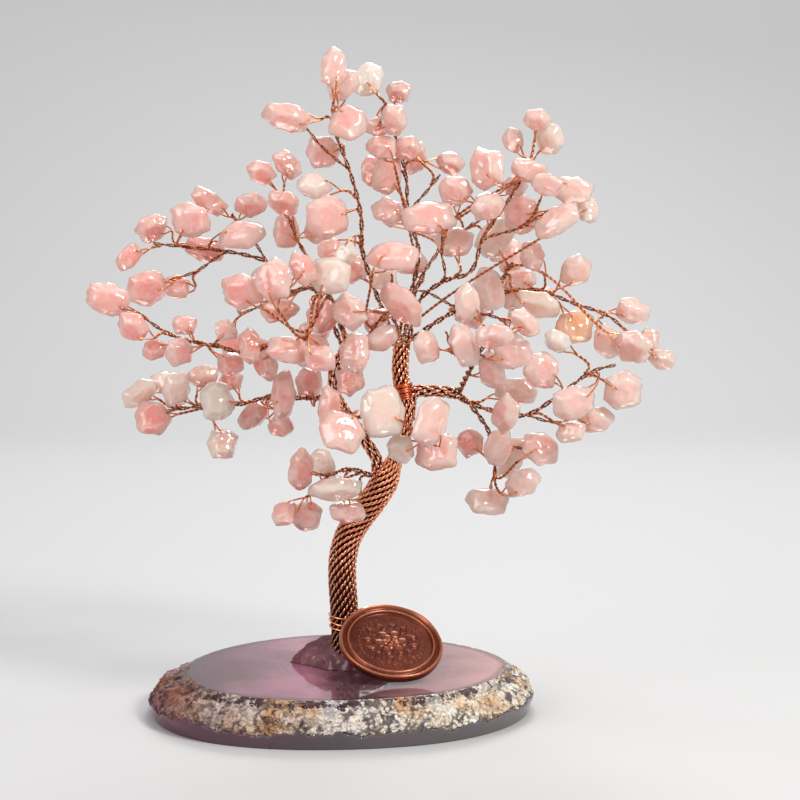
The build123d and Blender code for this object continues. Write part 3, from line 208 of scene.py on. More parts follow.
# Colours of the stones, with the places in the crown where each one hangs
STONE_TINTS = {
    "orange": (0.95, 0.47, 0.25),
    "clear": (0.94, 0.80, 0.72),
    "pale": (0.95, 0.70, 0.61),
    "red": (0.86, 0.33, 0.26),
}
TINT_PLACES = {
    "orange": ((0.65, -0.123),),
    "clear": ((-0.04, 0.69), (-0.113, 0.117), (0.59, -0.17), (-0.543, -0.373)),
    "pale": (
        (-0.22, 0.34), (-0.163, 0.047), (0.56, 0.497), (0.687, 0.263), (0.38, 0.167),
        (0.013, 0.037), (0.517, -0.05), (0.437, -0.563), (0.01, -0.407), (-0.193, -0.58),
        (-0.147, -0.663), (0.07, -0.53), (-0.803, -0.347), (-0.713, -0.307), (-0.677, -0.333),
        (-0.523, -0.513),
    ),
    "red": (
        (-0.58, 0.133), (-0.333, -0.07), (-0.187, -0.087), (-0.023, 0.393), (-0.23, -0.203),
        (-0.1, -0.303), (0.297, -0.507), (-0.24, -0.36), (-0.433, -0.187), (-0.383, -0.227),
        (-0.333, -0.45), (-0.263, -0.597),
    ),
}
TINT_REACH = 0.03
TINT_DEPTH = 20
TINT_SPREAD = 0.25
TINT_SHADES = (0.92, 1.04)
LEFT_TINT = (1.0, 0.37, 0.32)
RIGHT_TINT = (1.0, 0.63, 0.56)

# Stage and lights, in metres: a light's place, size, power, colour and aim
FLOOR_COLOUR = (0.53, 0.535, 0.54)
FLOOR_ROUGHNESS = 0.6
FLOOR_HALF_WIDTH = 2.5
FLOOR_FRONT = -2.5
WALL_PLACE = 1.4
WALL_TOP = 2.6
COVE_RADIUS = 0.5
COVE_STEPS = 12
WORLD_COLOUR = (1.0, 0.985, 0.975)
WORLD_STRENGTH = 0.58
WHITE = (1.0, 1.0, 1.0)
TREE_AIM = (0.0, 0.0, 0.1)
LIGHTS = {
    "key": ((0.75, -0.75, 0.85), 0.35, 13, (1.0, 0.98, 0.95), TREE_AIM),
    "fill": ((-0.9, -0.8, 0.6), 0.9, 6.5, (1.0, 0.96, 0.97), TREE_AIM),
    "rim": ((0.1, 0.9, 0.9), 0.6, 6, WHITE, TREE_AIM),
    "wall": ((0.0, 0.3, 1.5), 1.2, 5, WHITE, (0.0, WALL_PLACE, 0.5)),
}

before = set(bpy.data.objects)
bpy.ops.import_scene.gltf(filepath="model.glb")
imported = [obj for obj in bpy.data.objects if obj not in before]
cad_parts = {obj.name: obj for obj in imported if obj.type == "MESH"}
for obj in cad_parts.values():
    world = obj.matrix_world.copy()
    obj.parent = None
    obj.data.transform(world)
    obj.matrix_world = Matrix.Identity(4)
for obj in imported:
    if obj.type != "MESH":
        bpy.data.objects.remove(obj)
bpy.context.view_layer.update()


# Reading the solids

def unit(places):
    """Vectors brought to a length of one."""
    places = np.asarray(places, float)
    return places / norm(places, axis=-1, keepdims=True)


def smooth_share(values):
    """Shares from 0 to 1 that start and end softly."""
    values = np.clip(values, 0, 1)
    return values * values * (3 - 2 * values)


def solids_of(node):
    """A node's solids, each as its points in millimetres and its triangles."""
    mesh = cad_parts[node].data
    places = np.empty(len(mesh.vertices) * 3)
    mesh.vertices.foreach_get("co", places)
    places = places.reshape(-1, 3) / MM
    mesh.calc_loop_triangles()
    corners = np.array([triangle.vertices for triangle in mesh.loop_triangles])
    _, firsts, welded = np.unique(
        np.round(places, WELD_DIGITS), axis=0, return_index=True, return_inverse=True
    )
    corners = welded.reshape(-1)[corners]
    places = places[firsts]
    group = np.arange(len(places))
    while True:
        least = group[corners].min(axis=1)
        merged = group.copy()
        for column in range(3):
            np.minimum.at(merged, corners[:, column], least)
        merged = merged[merged]
        if (merged == group).all():
            break
        group = merged
    solids = []
    for name in np.unique(group):
        own = np.flatnonzero(group == name)
        number = np.full(len(places), -1)
        number[own] = np.arange(len(own))
        faces = number[corners[group[corners[:, 0]] == name]]
        solids.append((places[own], faces[(np.diff(np.sort(faces)) > 0).all(axis=1)]))
    return solids


def flat_faces(points, faces):
    """Groups of touching triangles that lie in one plane, as sets of their points."""
    a, b, c = (points[faces[:, column]] for column in range(3))
    normals = unit(np.cross(b - a, c - a))
    by_edge = {}
    for number, face in enumerate(faces):
        for p, q in ((0, 1), (1, 2), (2, 0)):
            by_edge.setdefault(frozenset((face[p], face[q])), []).append(number)
    group = list(range(len(faces)))

    def head(number):
        while group[number] != number:
            number = group[number]
        return number

    for sharing in by_edge.values():
        for first, second in pairwise(sharing):
            if normals[first] @ normals[second] > COPLANAR_COSINE:
                group[head(second)] = head(first)
    found = {}
    for number, face in enumerate(faces):
        found.setdefault(head(number), set()).update(face.tolist())
    return list(found.values())


def rings_of(points, faces, sides):
    """A rod's rings of points, in order from one of its caps to the other."""
    beside = [set() for _ in points]
    for face in faces:
        for corner in face:
            beside[corner].update(face.tolist())
    for cap in flat_faces(points, faces):
        if len(cap) != sides:
            continue
        rings = [cap]
        seen = set(cap)
        while len(seen) < len(points):
            following = set().union(*(beside[corner] for corner in rings[-1])) - seen
            if len(following) != sides:
                break
            rings.append(following)
            seen |= following
        if len(seen) == len(points):
            return np.array([points[sorted(ring)] for ring in rings])
    raise ValueError("no rings were found in a rod")


def rod_of(solid, sides):
    """The route of a rod and its radius at each point of the route."""
    rings = rings_of(*solid, sides)
    route = rings.mean(axis=1)
    return route, norm(rings - route[:, None], axis=2).mean(axis=1)


# Lines

def smooth_line(route, step, values=None):
    """Points a step apart on a smooth line through a route, with values between the route's."""
    route = np.asarray(route, float)
    lengths = norm(np.diff(route, axis=0), axis=1)
    knots = np.concatenate(([0], np.cumsum(lengths)))
    legs = np.diff(route, axis=0) / lengths[:, None]
    inner = [unit(legs[:-1] + legs[1:])] if len(route) > 2 else []
    slopes = np.vstack((legs[:1], *inner, legs[-1:]))
    count = max(2, ceil(knots[-1] / step))
    walks = np.linspace(0, knots[-1], count + 1)
    leg = np.clip(np.searchsorted(knots, walks, side="right") - 1, 0, len(lengths) - 1)
    way = ((walks - knots[leg]) / lengths[leg])[:, None]
    reach = lengths[leg][:, None]
    line = (
        (2 * way**3 - 3 * way**2 + 1) * route[leg]
        + (way**3 - 2 * way**2 + way) * reach * slopes[leg]
        + (3 * way**2 - 2 * way**3) * route[leg + 1]
        + (way**3 - way**2) * reach * slopes[leg + 1]
    )
    if values is None:
        return line
    return line, np.interp(walks, knots, values)


def rounded(route, rounds):
    """A route with its corners cut again and again."""
    for _ in range(rounds):
        cut = [route[0]]
        for a, b in pairwise(route):
            share = CORNER_CUT_SHARE
            cut += [a * (1 - share) + b * share, a * share + b * (1 - share)]
        route = np.array([*cut, route[-1]])
    return route


class Line:
    """Points with a heading, a side and a back at each of them."""

    def __init__(self, points, sides=None):
        self.points = points
        self.headings = unit(np.gradient(points, axis=0))
        if sides is None:
            sides = self.carried_sides()
        sides = sides - self.headings * (sides * self.headings).sum(axis=1, keepdims=True)
        self.sides = unit(sides)
        self.backs = np.cross(self.headings, self.sides)
        steps = norm(np.diff(points, axis=0), axis=1)
        self.walks = np.concatenate(([0], np.cumsum(steps)))

    def carried_sides(self):
        first = self.headings[0]
        start = UPWARDS if abs(first @ UPWARDS) < STEEP_COSINE else RIGHTWARDS
        sides = [unit(np.cross(first, np.cross(start, first)))]
        for heading in self.headings[1:]:
            side = sides[-1] - heading * (sides[-1] @ heading)
            sides.append(unit(side))
        return np.array(sides)

    def beside(self, reach, angles):
        """A line laid round this one, some reach away and at an angle at each point."""
        out = self.sides * np.cos(angles)[:, None] + self.backs * np.sin(angles)[:, None]
        return Line(self.points + out * np.reshape(reach, (-1, 1)), out)

    def tube(self, radius, sides=TUBE_SIDES):
        """Points and faces of a tube along the line, with its ends closed."""
        angles = 2 * pi * np.arange(sides) / sides
        out = (
            self.sides[:, None] * np.cos(angles)[None, :, None]
            + self.backs[:, None] * np.sin(angles)[None, :, None]
        )
        rings = self.points[:, None] + out * np.reshape(radius, (-1, 1, 1))
        count = len(self.points)
        low = np.arange(count - 1)[:, None] * sides + np.arange(sides)[None]
        after = np.arange(count - 1)[:, None] * sides + (np.arange(sides)[None] + 1) % sides
        quads = np.stack((low, after, after + sides, low + sides), axis=2).reshape(-1, 4)
        caps = [list(range(sides))[::-1], list(range((count - 1) * sides, count * sides))]
        return rings.reshape(-1, 3), [*quads.tolist(), *caps]


def openness(places, centres, reach):
    """How far out the rings of a tube lie from some centres, from 0 to 1 at the reach."""
    rings = np.asarray(places).reshape(len(centres), -1, 3)
    return norm(rings - centres[:, None], axis=2) / np.reshape(reach, (-1, 1))


def twisted_pair(line, wire, pitch, start):
    """Two wires twisted round each other along a line."""
    angles = start + 2 * pi * line.walks / pitch
    return [line.beside(wire, angles + turn) for turn in (0, pi)]


# Meshes

def add_object(name, data):
    """A new object in the scene."""
    made = bpy.data.objects.new(name, data)
    bpy.context.scene.collection.objects.link(made)
    return made


def add_mesh(name, points, faces, material):
    """A new smooth mesh in the scene."""
    mesh = bpy.data.meshes.new(name)
    mesh.from_pydata(points, [], faces)
    mesh.validate()
    mesh.shade_smooth()
    mesh.materials.append(material)
    return add_object(name, mesh)


def add_piece(name, parts, body, material, replaced):
    """One mesh from several lists of points and faces, riding on a body."""
    points = []
    faces = []
    shift = 0
    for places, corners in parts:
        points.append(np.asarray(places) * MM)
        faces += [[corner + shift for corner in face] for face in corners]
        shift += len(places)
    piece = add_mesh(name, np.vstack(points).tolist(), faces, material)
    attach(piece, body)
    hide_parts(*replaced)
    return piece


def add_layer(piece, name, values):
    """A value at each of a piece's points, which its material reads."""
    layer = piece.data.attributes.new(name, "FLOAT", "POINT")
    layer.data.foreach_set("value", np.clip(np.concatenate([np.ravel(value) for value in values]), 0, 1))


def add_wires(name, parts, opens, body, material, replaced):
    """A piece of copper wires, with how far out each of their points lies."""
    piece = add_piece(name, parts, body, material, [replaced])
    add_layer(piece, "open", opens)


# Materials

class Nodes:
    """A material and short ways to add nodes to it."""

    def __init__(self, name):
        self.material = bpy.data.materials.new(name)
        self.material.use_nodes = True
        self.tree = self.material.node_tree
        self.shader = self.tree.nodes["Principled BSDF"]

    def add(self, kind, **settings):
        node = self.tree.nodes.new(kind)
        for name, value in settings.items():
            setattr(node, name, value)
        return node

    def link(self, output, socket):
        if isinstance(output, bpy.types.NodeSocket):
            self.tree.links.new(output, socket)
        else:
            socket.default_value = (*output, 1) if isinstance(output, tuple) else output

    def set(self, **values):
        for name, value in values.items():
            self.link(value, self.shader.inputs[name.replace("_", " ")])

    def place(self):
        return self.add("ShaderNodeTexCoord").outputs["Object"]

    def texture(self, kind, **values):
        node = self.add(kind)
        for name, value in values.items():
            node.inputs[name].default_value = value
        self.link(self.place(), node.inputs["Vector"])
        return node.outputs

    def noise(self, scale, detail, roughness=0.55, distortion=0.0):
        return self.texture(
            "ShaderNodeTexNoise", Scale=scale, Detail=detail, Roughness=roughness, Distortion=distortion
        )["Fac"]

    def voronoi(self, scale):
        return self.texture("ShaderNodeTexVoronoi", Scale=scale)["Distance"]

    def attribute(self, name, output="Fac"):
        return self.add("ShaderNodeAttribute", attribute_name=name).outputs[output]

    def ramp(self, value, stops):
        """Colours at places from 0 to 1, where a plain number stands for a grey."""
        node = self.add("ShaderNodeValToRGB")
        elements = node.color_ramp.elements
        while len(elements) < len(stops):
            elements.new(1)
        for element, (place, colour) in zip(elements, stops):
            element.position = place
            element.color = (*(colour if isinstance(colour, tuple) else (colour,) * 3), 1)
        self.link(value, node.inputs["Fac"])
        return node.outputs["Color"]

    def fade(self, value, low, high, first=0.0, last=1.0):
        return self.ramp(value, ((low, first), (high, last)))

    def mix(self, share, first, second, blend="MIX"):
        node = self.add("ShaderNodeMix", data_type="RGBA", blend_type=blend)
        for socket, value in zip((node.inputs["Factor"], *node.inputs[6:8]), (share, first, second)):
            self.link(value, socket)
        return node.outputs[2]

    def math(self, operation, first, second=0.0):
        node = self.add("ShaderNodeMath", operation=operation)
        for socket, value in zip(node.inputs, (first, second)):
            self.link(value, socket)
        return node.outputs[0]

    def times(self, first, second):
        return self.math("MULTIPLY", first, second)

    def plus(self, first, second):
        return self.math("ADD", first, second)

    def spread(self, value, reach):
        """A value about one half, spread by some reach about nothing."""
        return self.times(self.math("SUBTRACT", value, 0.5), reach)

    def over(self, below, colour, cover, strength):
        """A colour laid over what is below it, where a cover says and no stronger than given."""
        return self.mix(self.times(cover, strength), below, colour)

    def bump(self, height, strength, distance):
        node = self.add("ShaderNodeBump")
        node.inputs["Strength"].default_value = strength
        node.inputs["Distance"].default_value = distance
        self.link(height, node.inputs["Height"])
        self.link(node.outputs["Normal"], self.shader.inputs["Normal"])


def copper_material(name, bright, dull, roughness, deep=None, gap_shade_range=()):
    """Copper wire: bright on top and browned in patches, with painted shade, partly dark oxide, deep between
    its wires.
    """
    nodes = Nodes(name)
    nodes.set(Metallic=1.0, IOR=1.45)
    tone = nodes.ramp(nodes.noise(420, 4, 0.6), ((0.3, dull), (0.62, bright)))
    # Painted shade, partly dark oxide: the deep colour where a wire's surface lies far in among the others.
    if deep:
        tone = nodes.mix(nodes.fade(nodes.attribute("open"), *gap_shade_range), deep, tone)
    nodes.set(Base_Color=tone, Roughness=nodes.fade(nodes.noise(900, 2), 0.35, 0.7, *roughness))
    nodes.bump(nodes.noise(2600, 2), 0.25, 0.00005)
    return nodes.material


def quartz_material():
    """Rose quartz: milky and glossy, with clouds and healed cracks inside and painted highlights along its
    edges.
    """
    nodes = Nodes("rose_quartz")
    nodes.set(
        Subsurface_Weight=0.75, Subsurface_Scale=0.008, Transmission_Weight=0.38, IOR=1.54,
        Coat_Weight=0.8, Coat_Roughness=0.02, Coat_IOR=1.55,
    )
    nodes.shader.inputs["Subsurface Radius"].default_value = (1.0, 0.55, 0.45)
    tint = nodes.attribute("tint", "Color")
    milk = nodes.fade(nodes.noise(150, 5, 0.62, 0.8), 0.40, 0.72)
    colour = nodes.over(tint, (1.0, 0.82, 0.74), milk, 0.4)
    deep = nodes.fade(nodes.noise(95, 3, 0.5, 0.4), 0.28, 0.46, 1.0, 0.0)
    colour = nodes.over(colour, (0.84, 0.34, 0.27), deep, 0.35)
    crack = nodes.math("ABSOLUTE", nodes.math("SUBTRACT", nodes.noise(120, 2, 0.4, 2.2), 0.5))
    vein = nodes.fade(crack, 0.0, 0.012, 1.0, 0.0)
    colour = nodes.over(colour, (1.0, 0.95, 0.91), vein, 0.4)
    # Painted highlight along the stones' edges, where the rim layer is high.
    colour = nodes.over(colour, (1.0, 0.82, 0.75), nodes.attribute("rim"), 0.35)
    nodes.set(Base_Color=colour, Roughness=nodes.fade(nodes.noise(300, 2), 0.4, 0.7, 0.05, 0.15))
    nodes.bump(nodes.noise(260, 3), 0.4, 0.0006)
    return nodes.material


# The deep colour and its range paint shade, partly dark oxide, between the wires.
COPPER = copper_material(
    "copper", (0.83, 0.33, 0.15), (0.56, 0.16, 0.06), (0.18, 0.34), (0.14, 0.03, 0.014), (0.35, 0.95)
)
TRUNK_COPPER = copper_material(
    "trunk_copper", (0.96, 0.49, 0.29), (0.70, 0.25, 0.155), (0.16, 0.3), (0.085, 0.018, 0.012),
    (0.58, 0.94),
)
RED_COPPER = copper_material("red_copper", (0.74, 0.20, 0.09), (0.45, 0.09, 0.04), (0.2, 0.36))
BRIGHT_COPPER = copper_material("bright_copper", (0.93, 0.50, 0.26), (0.78, 0.32, 0.14), (0.14, 0.26))
QUARTZ = quartz_material()


# Boughs

def nearest_on(line, place):
    """The number of a line's point that lies nearest to a place, and how far it is."""
    away = norm(line.points - place, axis=1)
    return int(away.argmin()), float(away.min())


def laid_strands(line, reach, strand, count, pitch, twist, sides, shade=1.0):
    """Strands of twisted pairs laid round a line, and how far out each of their points lies."""
    parts = []
    opens = []
    for number in range(count):
        laid = line.beside(reach, 2 * pi * (number / count + line.walks / pitch))
        for wire in twisted_pair(laid, strand / 2, twist, number):
            parts.append(wire.tube(strand / 2, sides))
            opens.append(openness(parts[-1][0], line.points, reach + strand) * shade)
    return parts, opens


def rope(route, radii):
    """A rope of twisted pairs along a route, thinning with its radii."""
    points, girth = smooth_line(route, STRAND_PITCH / TWIST_STEPS, radii)
    line = Line(points)
    lay = girth / (1 + sin(pi / ROD_STRANDS))
    return line, *laid_strands(line, lay, girth - lay, ROD_STRANDS, ROD_PITCH, STRAND_PITCH, TUBE_SIDES - 1)


def bough_ropes(rods):
    """A bough's rods as ropes, each of them grown from the nearest thicker one."""
    lines = []
    parts = []
    opens = []
    for route, radii in sorted(rods, key=lambda rod: -rod[1].max()):
        if radii[0] < radii[-1]:
            route, radii = route[::-1], radii[::-1]
        if lines:
            ends = [min(nearest_on(line, end)[1] for line in lines) for end in (route[0], route[-1])]
            if ends[1] < ends[0]:
                route, radii = route[::-1], radii[::-1]
            host = min(lines, key=lambda line: nearest_on(line, route[0])[1])
            number, _ = nearest_on(host, route[0])
            back = max(0, number - ceil(ROD_TUCK / host.walks[-1] * len(host.walks)))
            first = host.points[back]
        else:
            first = route[0] - unit(route[1] - route[0]) * ROD_TUCK
        line, wires, outs = rope(np.vstack((first, route)), np.concatenate((radii[:1], radii)))
        lines.append(line)
        parts += wires
        opens += outs
    return lines, parts, opens


def bough_wires(stems, bows, lines):
    """A bough's stems as twisted pairs, each of them going on into its bow."""
    parts = []
    opens = []
    for bow in bows:
        throat = (bow[0] + bow[-1]) / 2
        stem = min(stems, key=lambda stem: min(norm(end - throat) for end in stem))
        if norm(stem[0] - throat) < norm(stem[-1] - throat):
            stem = stem[::-1]
        host = min(lines, key=lambda line: nearest_on(line, stem[0])[1])
        number, _ = nearest_on(host, stem[0])
        foot = host.points[number]
        leg = unit(stem[-1] - stem[0])
        first = foot - host.headings[number] * STEM_TUCK + (stem[0] - foot) * STEM_SIDE_SHARE
        points = smooth_line([first, stem[0] + leg * STEM_STRAIGHT, stem[-1]], STEM_PITCH / TWIST_STEPS)
        line = Line(points)
        face = unit(bow[0] - bow[-1])
        face = face - leg * (face @ leg)
        end_angle = np.arctan2(face @ line.backs[-1], face @ line.sides[-1])
        start = end_angle - 2 * pi * line.walks[-1] / STEM_PITCH
        front, behind = twisted_pair(line, STEM_WIRE, STEM_PITCH, start)
        arms = smooth_line(rounded(bow, CORNER_ROUNDS), STEM_PITCH / TWIST_STEPS)
        whole = np.vstack((front.points, arms[1:-1], behind.points[::-1]))
        for _ in range(BOW_SMOOTHINGS):
            whole[1:-1] = (whole[:-2] + 2 * whole[1:-1] + whole[2:]) / 4
        parts.append(Line(whole).tube(STEM_WIRE))
        centres = np.vstack((line.points, arms[1:-1], line.points[::-1]))
        opens.append(openness(parts[-1][0], centres, 2 * STEM_WIRE))
        opens[-1][len(line.points) : -len(line.points)] = 1
    return parts, opens


# Stones

def hull_planes(points):
    """Outward normals of a solid's hull and how far each face is from the middle."""
    shape = bmesh.new()
    corners = [shape.verts.new(point) for point in points]
    bmesh.ops.convex_hull(shape, input=corners)
    shape.normal_update()
    centre = points.mean(axis=0)
    normals = []
    reaches = []
    for face in shape.faces:
        normal = np.array(face.normal)
        reach = normal @ (np.array(face.verts[0].co) - centre)
        if reach < 0:
            normal, reach = -normal, -reach
        if all(normal @ other < STONE_FACE_COSINE for other in normals):
            normals.append(normal)
            reaches.append(reach)
    shape.free()
    return centre, np.array(normals), np.array(reaches)


def sphere_directions():
    """Directions over a ball and the faces between them."""
    shape = bmesh.new()
    bmesh.ops.create_icosphere(shape, subdivisions=STONE_SUBDIVISIONS, radius=1)
    directions = unit([vertex.co[:] for vertex in shape.verts])
    faces = [[vertex.index for vertex in face.verts] for face in shape.faces]
    shape.free()
    return directions, faces


BALL_DIRECTIONS, BALL_FACES = sphere_directions()


def stone(points, draw):
    """A tumbled stone with soft edges, inside the faces of its solid."""
    centre, normals, reaches = hull_planes(points)
    sharpness = draw.uniform(*STONE_SHARPNESS)
    shares = np.clip(BALL_DIRECTIONS @ normals.T, 0, None) / reaches
    reach = (shares**sharpness).sum(axis=1) ** (-1 / sharpness)
    shift = Vector(draw.uniform(-NOISE_REACH, NOISE_REACH, 3))
    for fineness, share in STONE_WAVE_SHARES:
        waves = [noise.noise(Vector(place) * fineness + shift) for place in BALL_DIRECTIONS.tolist()]
        reach = reach * (1 + share * np.array(waves))
    # How near each point lies to an edge, where the stone's material paints a highlight.
    ranked = np.sort(shares, axis=1)
    edges = smooth_share((ranked[:, -2] / ranked[:, -1] - STONE_EDGE_LOW) / (1 - STONE_EDGE_LOW))
    return centre + BALL_DIRECTIONS * (reach * STONE_SWELL)[:, None], edges


def crown_place(place):
    """Where a place appears in the crown, as shares of its radius."""
    away = 1 + place[1] / -CAMERA_PLACE[1]
    across = (place[0] - CAMERA_PLACE[0]) / away + CAMERA_PLACE[0] - CROWN_X
    up = (place[2] - CAMERA_PLACE[2]) / away + CAMERA_PLACE[2] - CROWN_Z
    return np.array((across, up)) / CROWN_RADIUS


def stone_tint(place, draw):
    """The colour of the stone at a place."""
    seen = crown_place(place)
    for name, spots in TINT_PLACES.items():
        near = min(norm(seen - spot) for spot in spots)
        if near < TINT_REACH and place[1] < TINT_DEPTH:
            return np.array(STONE_TINTS[name])
    share = np.clip((seen[0] + 1) / 2 + draw.uniform(-TINT_SPREAD, TINT_SPREAD), 0, 1)
    tint = np.array(LEFT_TINT) * (1 - share) + np.array(RIGHT_TINT) * share
    return tint * draw.uniform(*TINT_SHADES)


def bough_stones(name, number):
    """A bough's stones as one piece, each with its own colour."""
    draw = np.random.default_rng(number)
    parts = []
    painted_edge_highlights = []
    tints = []
    for points, _ in solids_of(f"{name}_chips"):
        places, edges = stone(points, draw)
        parts.append((places, BALL_FACES))
        painted_edge_highlights.append(edges)
        tints += [[*stone_tint(points.mean(axis=0), draw), 1]] * len(BALL_DIRECTIONS)
    piece = add_piece(f"{name}_stones", parts, name, QUARTZ, [f"{name}_chips"])
    colours = piece.data.color_attributes.new("tint", "FLOAT_COLOR", "POINT")
    colours.data.foreach_set("color", np.clip(np.array(tints), 0, 1).ravel())
    add_layer(piece, "rim", painted_edge_highlights)


bough_names = sorted(name[: -len("_bough")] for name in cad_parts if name.endswith("_bough"))
for number, name in enumerate(bough_names):
    solids = solids_of(f"{name}_bough")
    rods = [rod_of(solid, ROD_SIDES) for solid in solids if len(solid[0]) != STEM_POINTS]
    stems = [rod_of(solid, WIRE_SIDES)[0] for solid in solids if len(solid[0]) == STEM_POINTS]
    bows = [rings_of(*solid, WIRE_SIDES).mean(axis=1) for solid in solids_of(f"{name}_bows")]
    lines, *ropes = bough_ropes(rods)
    add_wires(f"{name}_rope", *ropes, name, COPPER, f"{name}_bough")
    add_wires(f"{name}_wires", *bough_wires(stems, bows, lines), name, COPPER, f"{name}_bows")
    bough_stones(name, number)


# Trunk and forks

def bundle_parts(line, radius, count, pitch, pull=0.0):
    """Strands of twisted pairs laid round a line, drawn in by some share along it."""
    reach = (radius - STRAND_RADIUS) * (1 - pull)
    shade = FOOT_SHADE + (1 - FOOT_SHADE) * smooth_share((line.points[:, 2] - FOOT_LOW) / FOOT_RISE)
    shade = shade[:, None]
    return laid_strands(line, reach, STRAND_RADIUS, count, pitch, -STRAND_PITCH, TUBE_SIDES, shade)


def bundle_line(node, before=()):
    """The middle line of a node's strands, and its radius."""
    strands = [rings_of(*solid, KITE_SIDES) for solid in solids_of(node)]
    first = strands[0][0].mean(axis=0)
    aligned = []
    for strand in strands:
        near, far = (norm(strand[end].mean(axis=0) - first) for end in (0, -1))
        aligned.append(strand if near < far else strand[::-1])
    aligned = np.array(aligned)
    route = aligned.mean(axis=(0, 2))
    radius = norm(aligned - route[None, :, None], axis=3).max()
    if len(before) and norm(route[0] - before[-1]) > norm(route[-1] - before[-1]):
        route = route[::-1]
    return Line(smooth_line([*before, *route], STRAND_PITCH / TWIST_STEPS)), radius


def core_line(node, before=()):
    """The middle line of a core, from its lower end, and how far in its sides lie."""
    (solid,) = solids_of(node)
    route, radii = rod_of(solid, CORE_SIDES)
    if route[0][2] > route[-1][2]:
        route = route[::-1]
    line = Line(smooth_line([*before, *route], STRAND_PITCH / TWIST_STEPS))
    return line, radii.mean() * cos(pi / CORE_SIDES)


def back_along(line, place, distance, out=0.0):
    """A place some way down a line from the point nearest to another place, moved towards it."""
    number, away = nearest_on(line, place)
    back = int(np.searchsorted(line.walks, max(0, line.walks[number] - distance)))
    if not out:
        return line.points[back]
    return line.points[back] + (place - line.points[number]) / away * out


trunk, _ = core_line("trunk_core")
_, trunk_radius = bundle_line("trunk_strands")
narrow = smooth_share((trunk.walks - trunk.walks[-1] + TRUNK_TAPER) / TRUNK_TAPER)
parts, opens = bundle_parts(trunk, trunk_radius, TRUNK_STRANDS, TRUNK_PITCH, TRUNK_TAPER_SHARE * narrow)
add_wires("trunk_strand_wires", parts, opens, "tree", TRUNK_COPPER, "trunk_strands")

_, neck_radius = bundle_line("neck_strands")
neck, _ = core_line("neck_core", [back_along(trunk, trunk.points[-1], NECK_TUCK)])
parts, opens = bundle_parts(neck, neck_radius, NECK_STRANDS, NECK_PITCH)
add_wires("neck_strand_wires", parts, opens, "tree", TRUNK_COPPER, "neck_strands")

for node, host in (("left_fork", trunk), ("right_fork", neck)):
    line, _ = bundle_line(node)
    root = min((line.points[0], line.points[-1]), key=lambda end: nearest_on(host, end)[1])
    tuck = back_along(host, root, FORK_TUCK, FORK_TUCK_OUT)
    line, fork_radius = bundle_line(node, [tuck])
    parts, opens = bundle_parts(line, fork_radius, FORK_STRANDS, FORK_PITCH)
    add_wires(f"{node}_wires", parts, opens, "tree", TRUNK_COPPER, node)


# Straight wires inside the trunk and the neck

for node in ("trunk_core", "neck_core"):
    line, radius = core_line(node)
    wire = radius * sin(pi / CORE_WIRES) / (1 + sin(pi / CORE_WIRES))
    parts = [line.tube(radius - wire, CORE_WIRES)]
    for number in range(CORE_WIRES):
        angles = np.full(len(line.points), 2 * pi * number / CORE_WIRES)
        parts.append(line.beside(radius - wire, angles).tube(wire))
    opens = [openness(places, line.points, 2 * radius) for places, _ in parts]
    add_wires(f"{node}_wires", parts, opens, "tree", TRUNK_COPPER, node)


# Windings

def wound(node, line, host_radius, turns, wire, wobble, tilt, start):
    """A wire wound round a line where a node lies, its turns a little uneven."""
    points = np.vstack([solid[0] for solid in solids_of(node)])
    nearest = [nearest_on(line, place) for place in points]
    walks = line.walks[[number for number, _ in nearest]]
    radius = min(np.mean([away for _, away in nearest]), host_radius + wire)
    low, high = walks.min() + wire, walks.max() - wire
    count = turns * WINDING_STEPS
    ways = np.linspace(0, 1, count + 1)
    angles = start + 2 * pi * turns * ways
    drift = np.array([noise.noise(Vector((way * turns * DRIFT_FINENESS, start, 0))) for way in ways])
    along = low + (high - low) * ways + wobble * drift + tilt * np.sin(angles * TILT_TURN_SHARE)
    numbers = np.interp(along, line.walks, np.arange(len(line.walks)))
    counts = np.arange(len(line.points))
    centres = np.array([np.interp(numbers, counts, line.points[:, axis]) for axis in range(3)]).T
    whole = np.round(numbers).astype(int)
    out = line.sides[whole] * np.cos(angles)[:, None] + line.backs[whole] * np.sin(angles)[:, None]
    return Line(centres + out * (radius + DRIFT_LIFT_SHARE * wire * drift)[:, None]).tube(wire)


binding = wound("fork_binding", neck, neck_radius, **BINDING)
add_piece("fork_binding_wire", [binding], "tree", RED_COPPER, ["fork_binding"])
tie = wound("tie_wire", trunk, trunk_radius, **TIE)
add_piece("tie_wire_turns", [tie], "tree", BRIGHT_COPPER, ["tie_wire"])
(solid,) = solids_of("hanging_wire")
route, radii = rod_of(solid, WIRE_SIDES)
hanger = Line(smooth_line(route, HANGER_STEP)).tube(radii.mean())
add_piece("hanging_wire_end", [hanger], "tree", BRIGHT_COPPER, ["hanging_wire"])


# Agate slab

def rows_between(rows, count):
    """Rows evenly spread from the first to the last of some rows."""
    full = []
    for way in np.linspace(0, len(rows) - 1, count):
        number = min(int(way), len(rows) - 2)
        share = way - number
        full.append(rows[number] * (1 - share) + rows[number + 1] * share)
    return np.array(full)


def closed_rows(rows, top, foot):
    """Points and faces of rings of points, closed by a place in their top and one in their foot."""
    points = np.vstack((np.reshape(rows, (-1, 3)), [top], [foot]))
    columns = len(rows[0])
    hub = len(rows) * columns
    faces = []
    for column in range(columns):
        after = (column + 1) % columns
        for row in range(0, hub - columns, columns):
            faces.append([row + column, row + after, row + columns + after, row + columns + column])
        faces.append([hub - columns + column, hub - columns + after, hub])
        faces.append([after, column, hub + 1])
    return points, faces


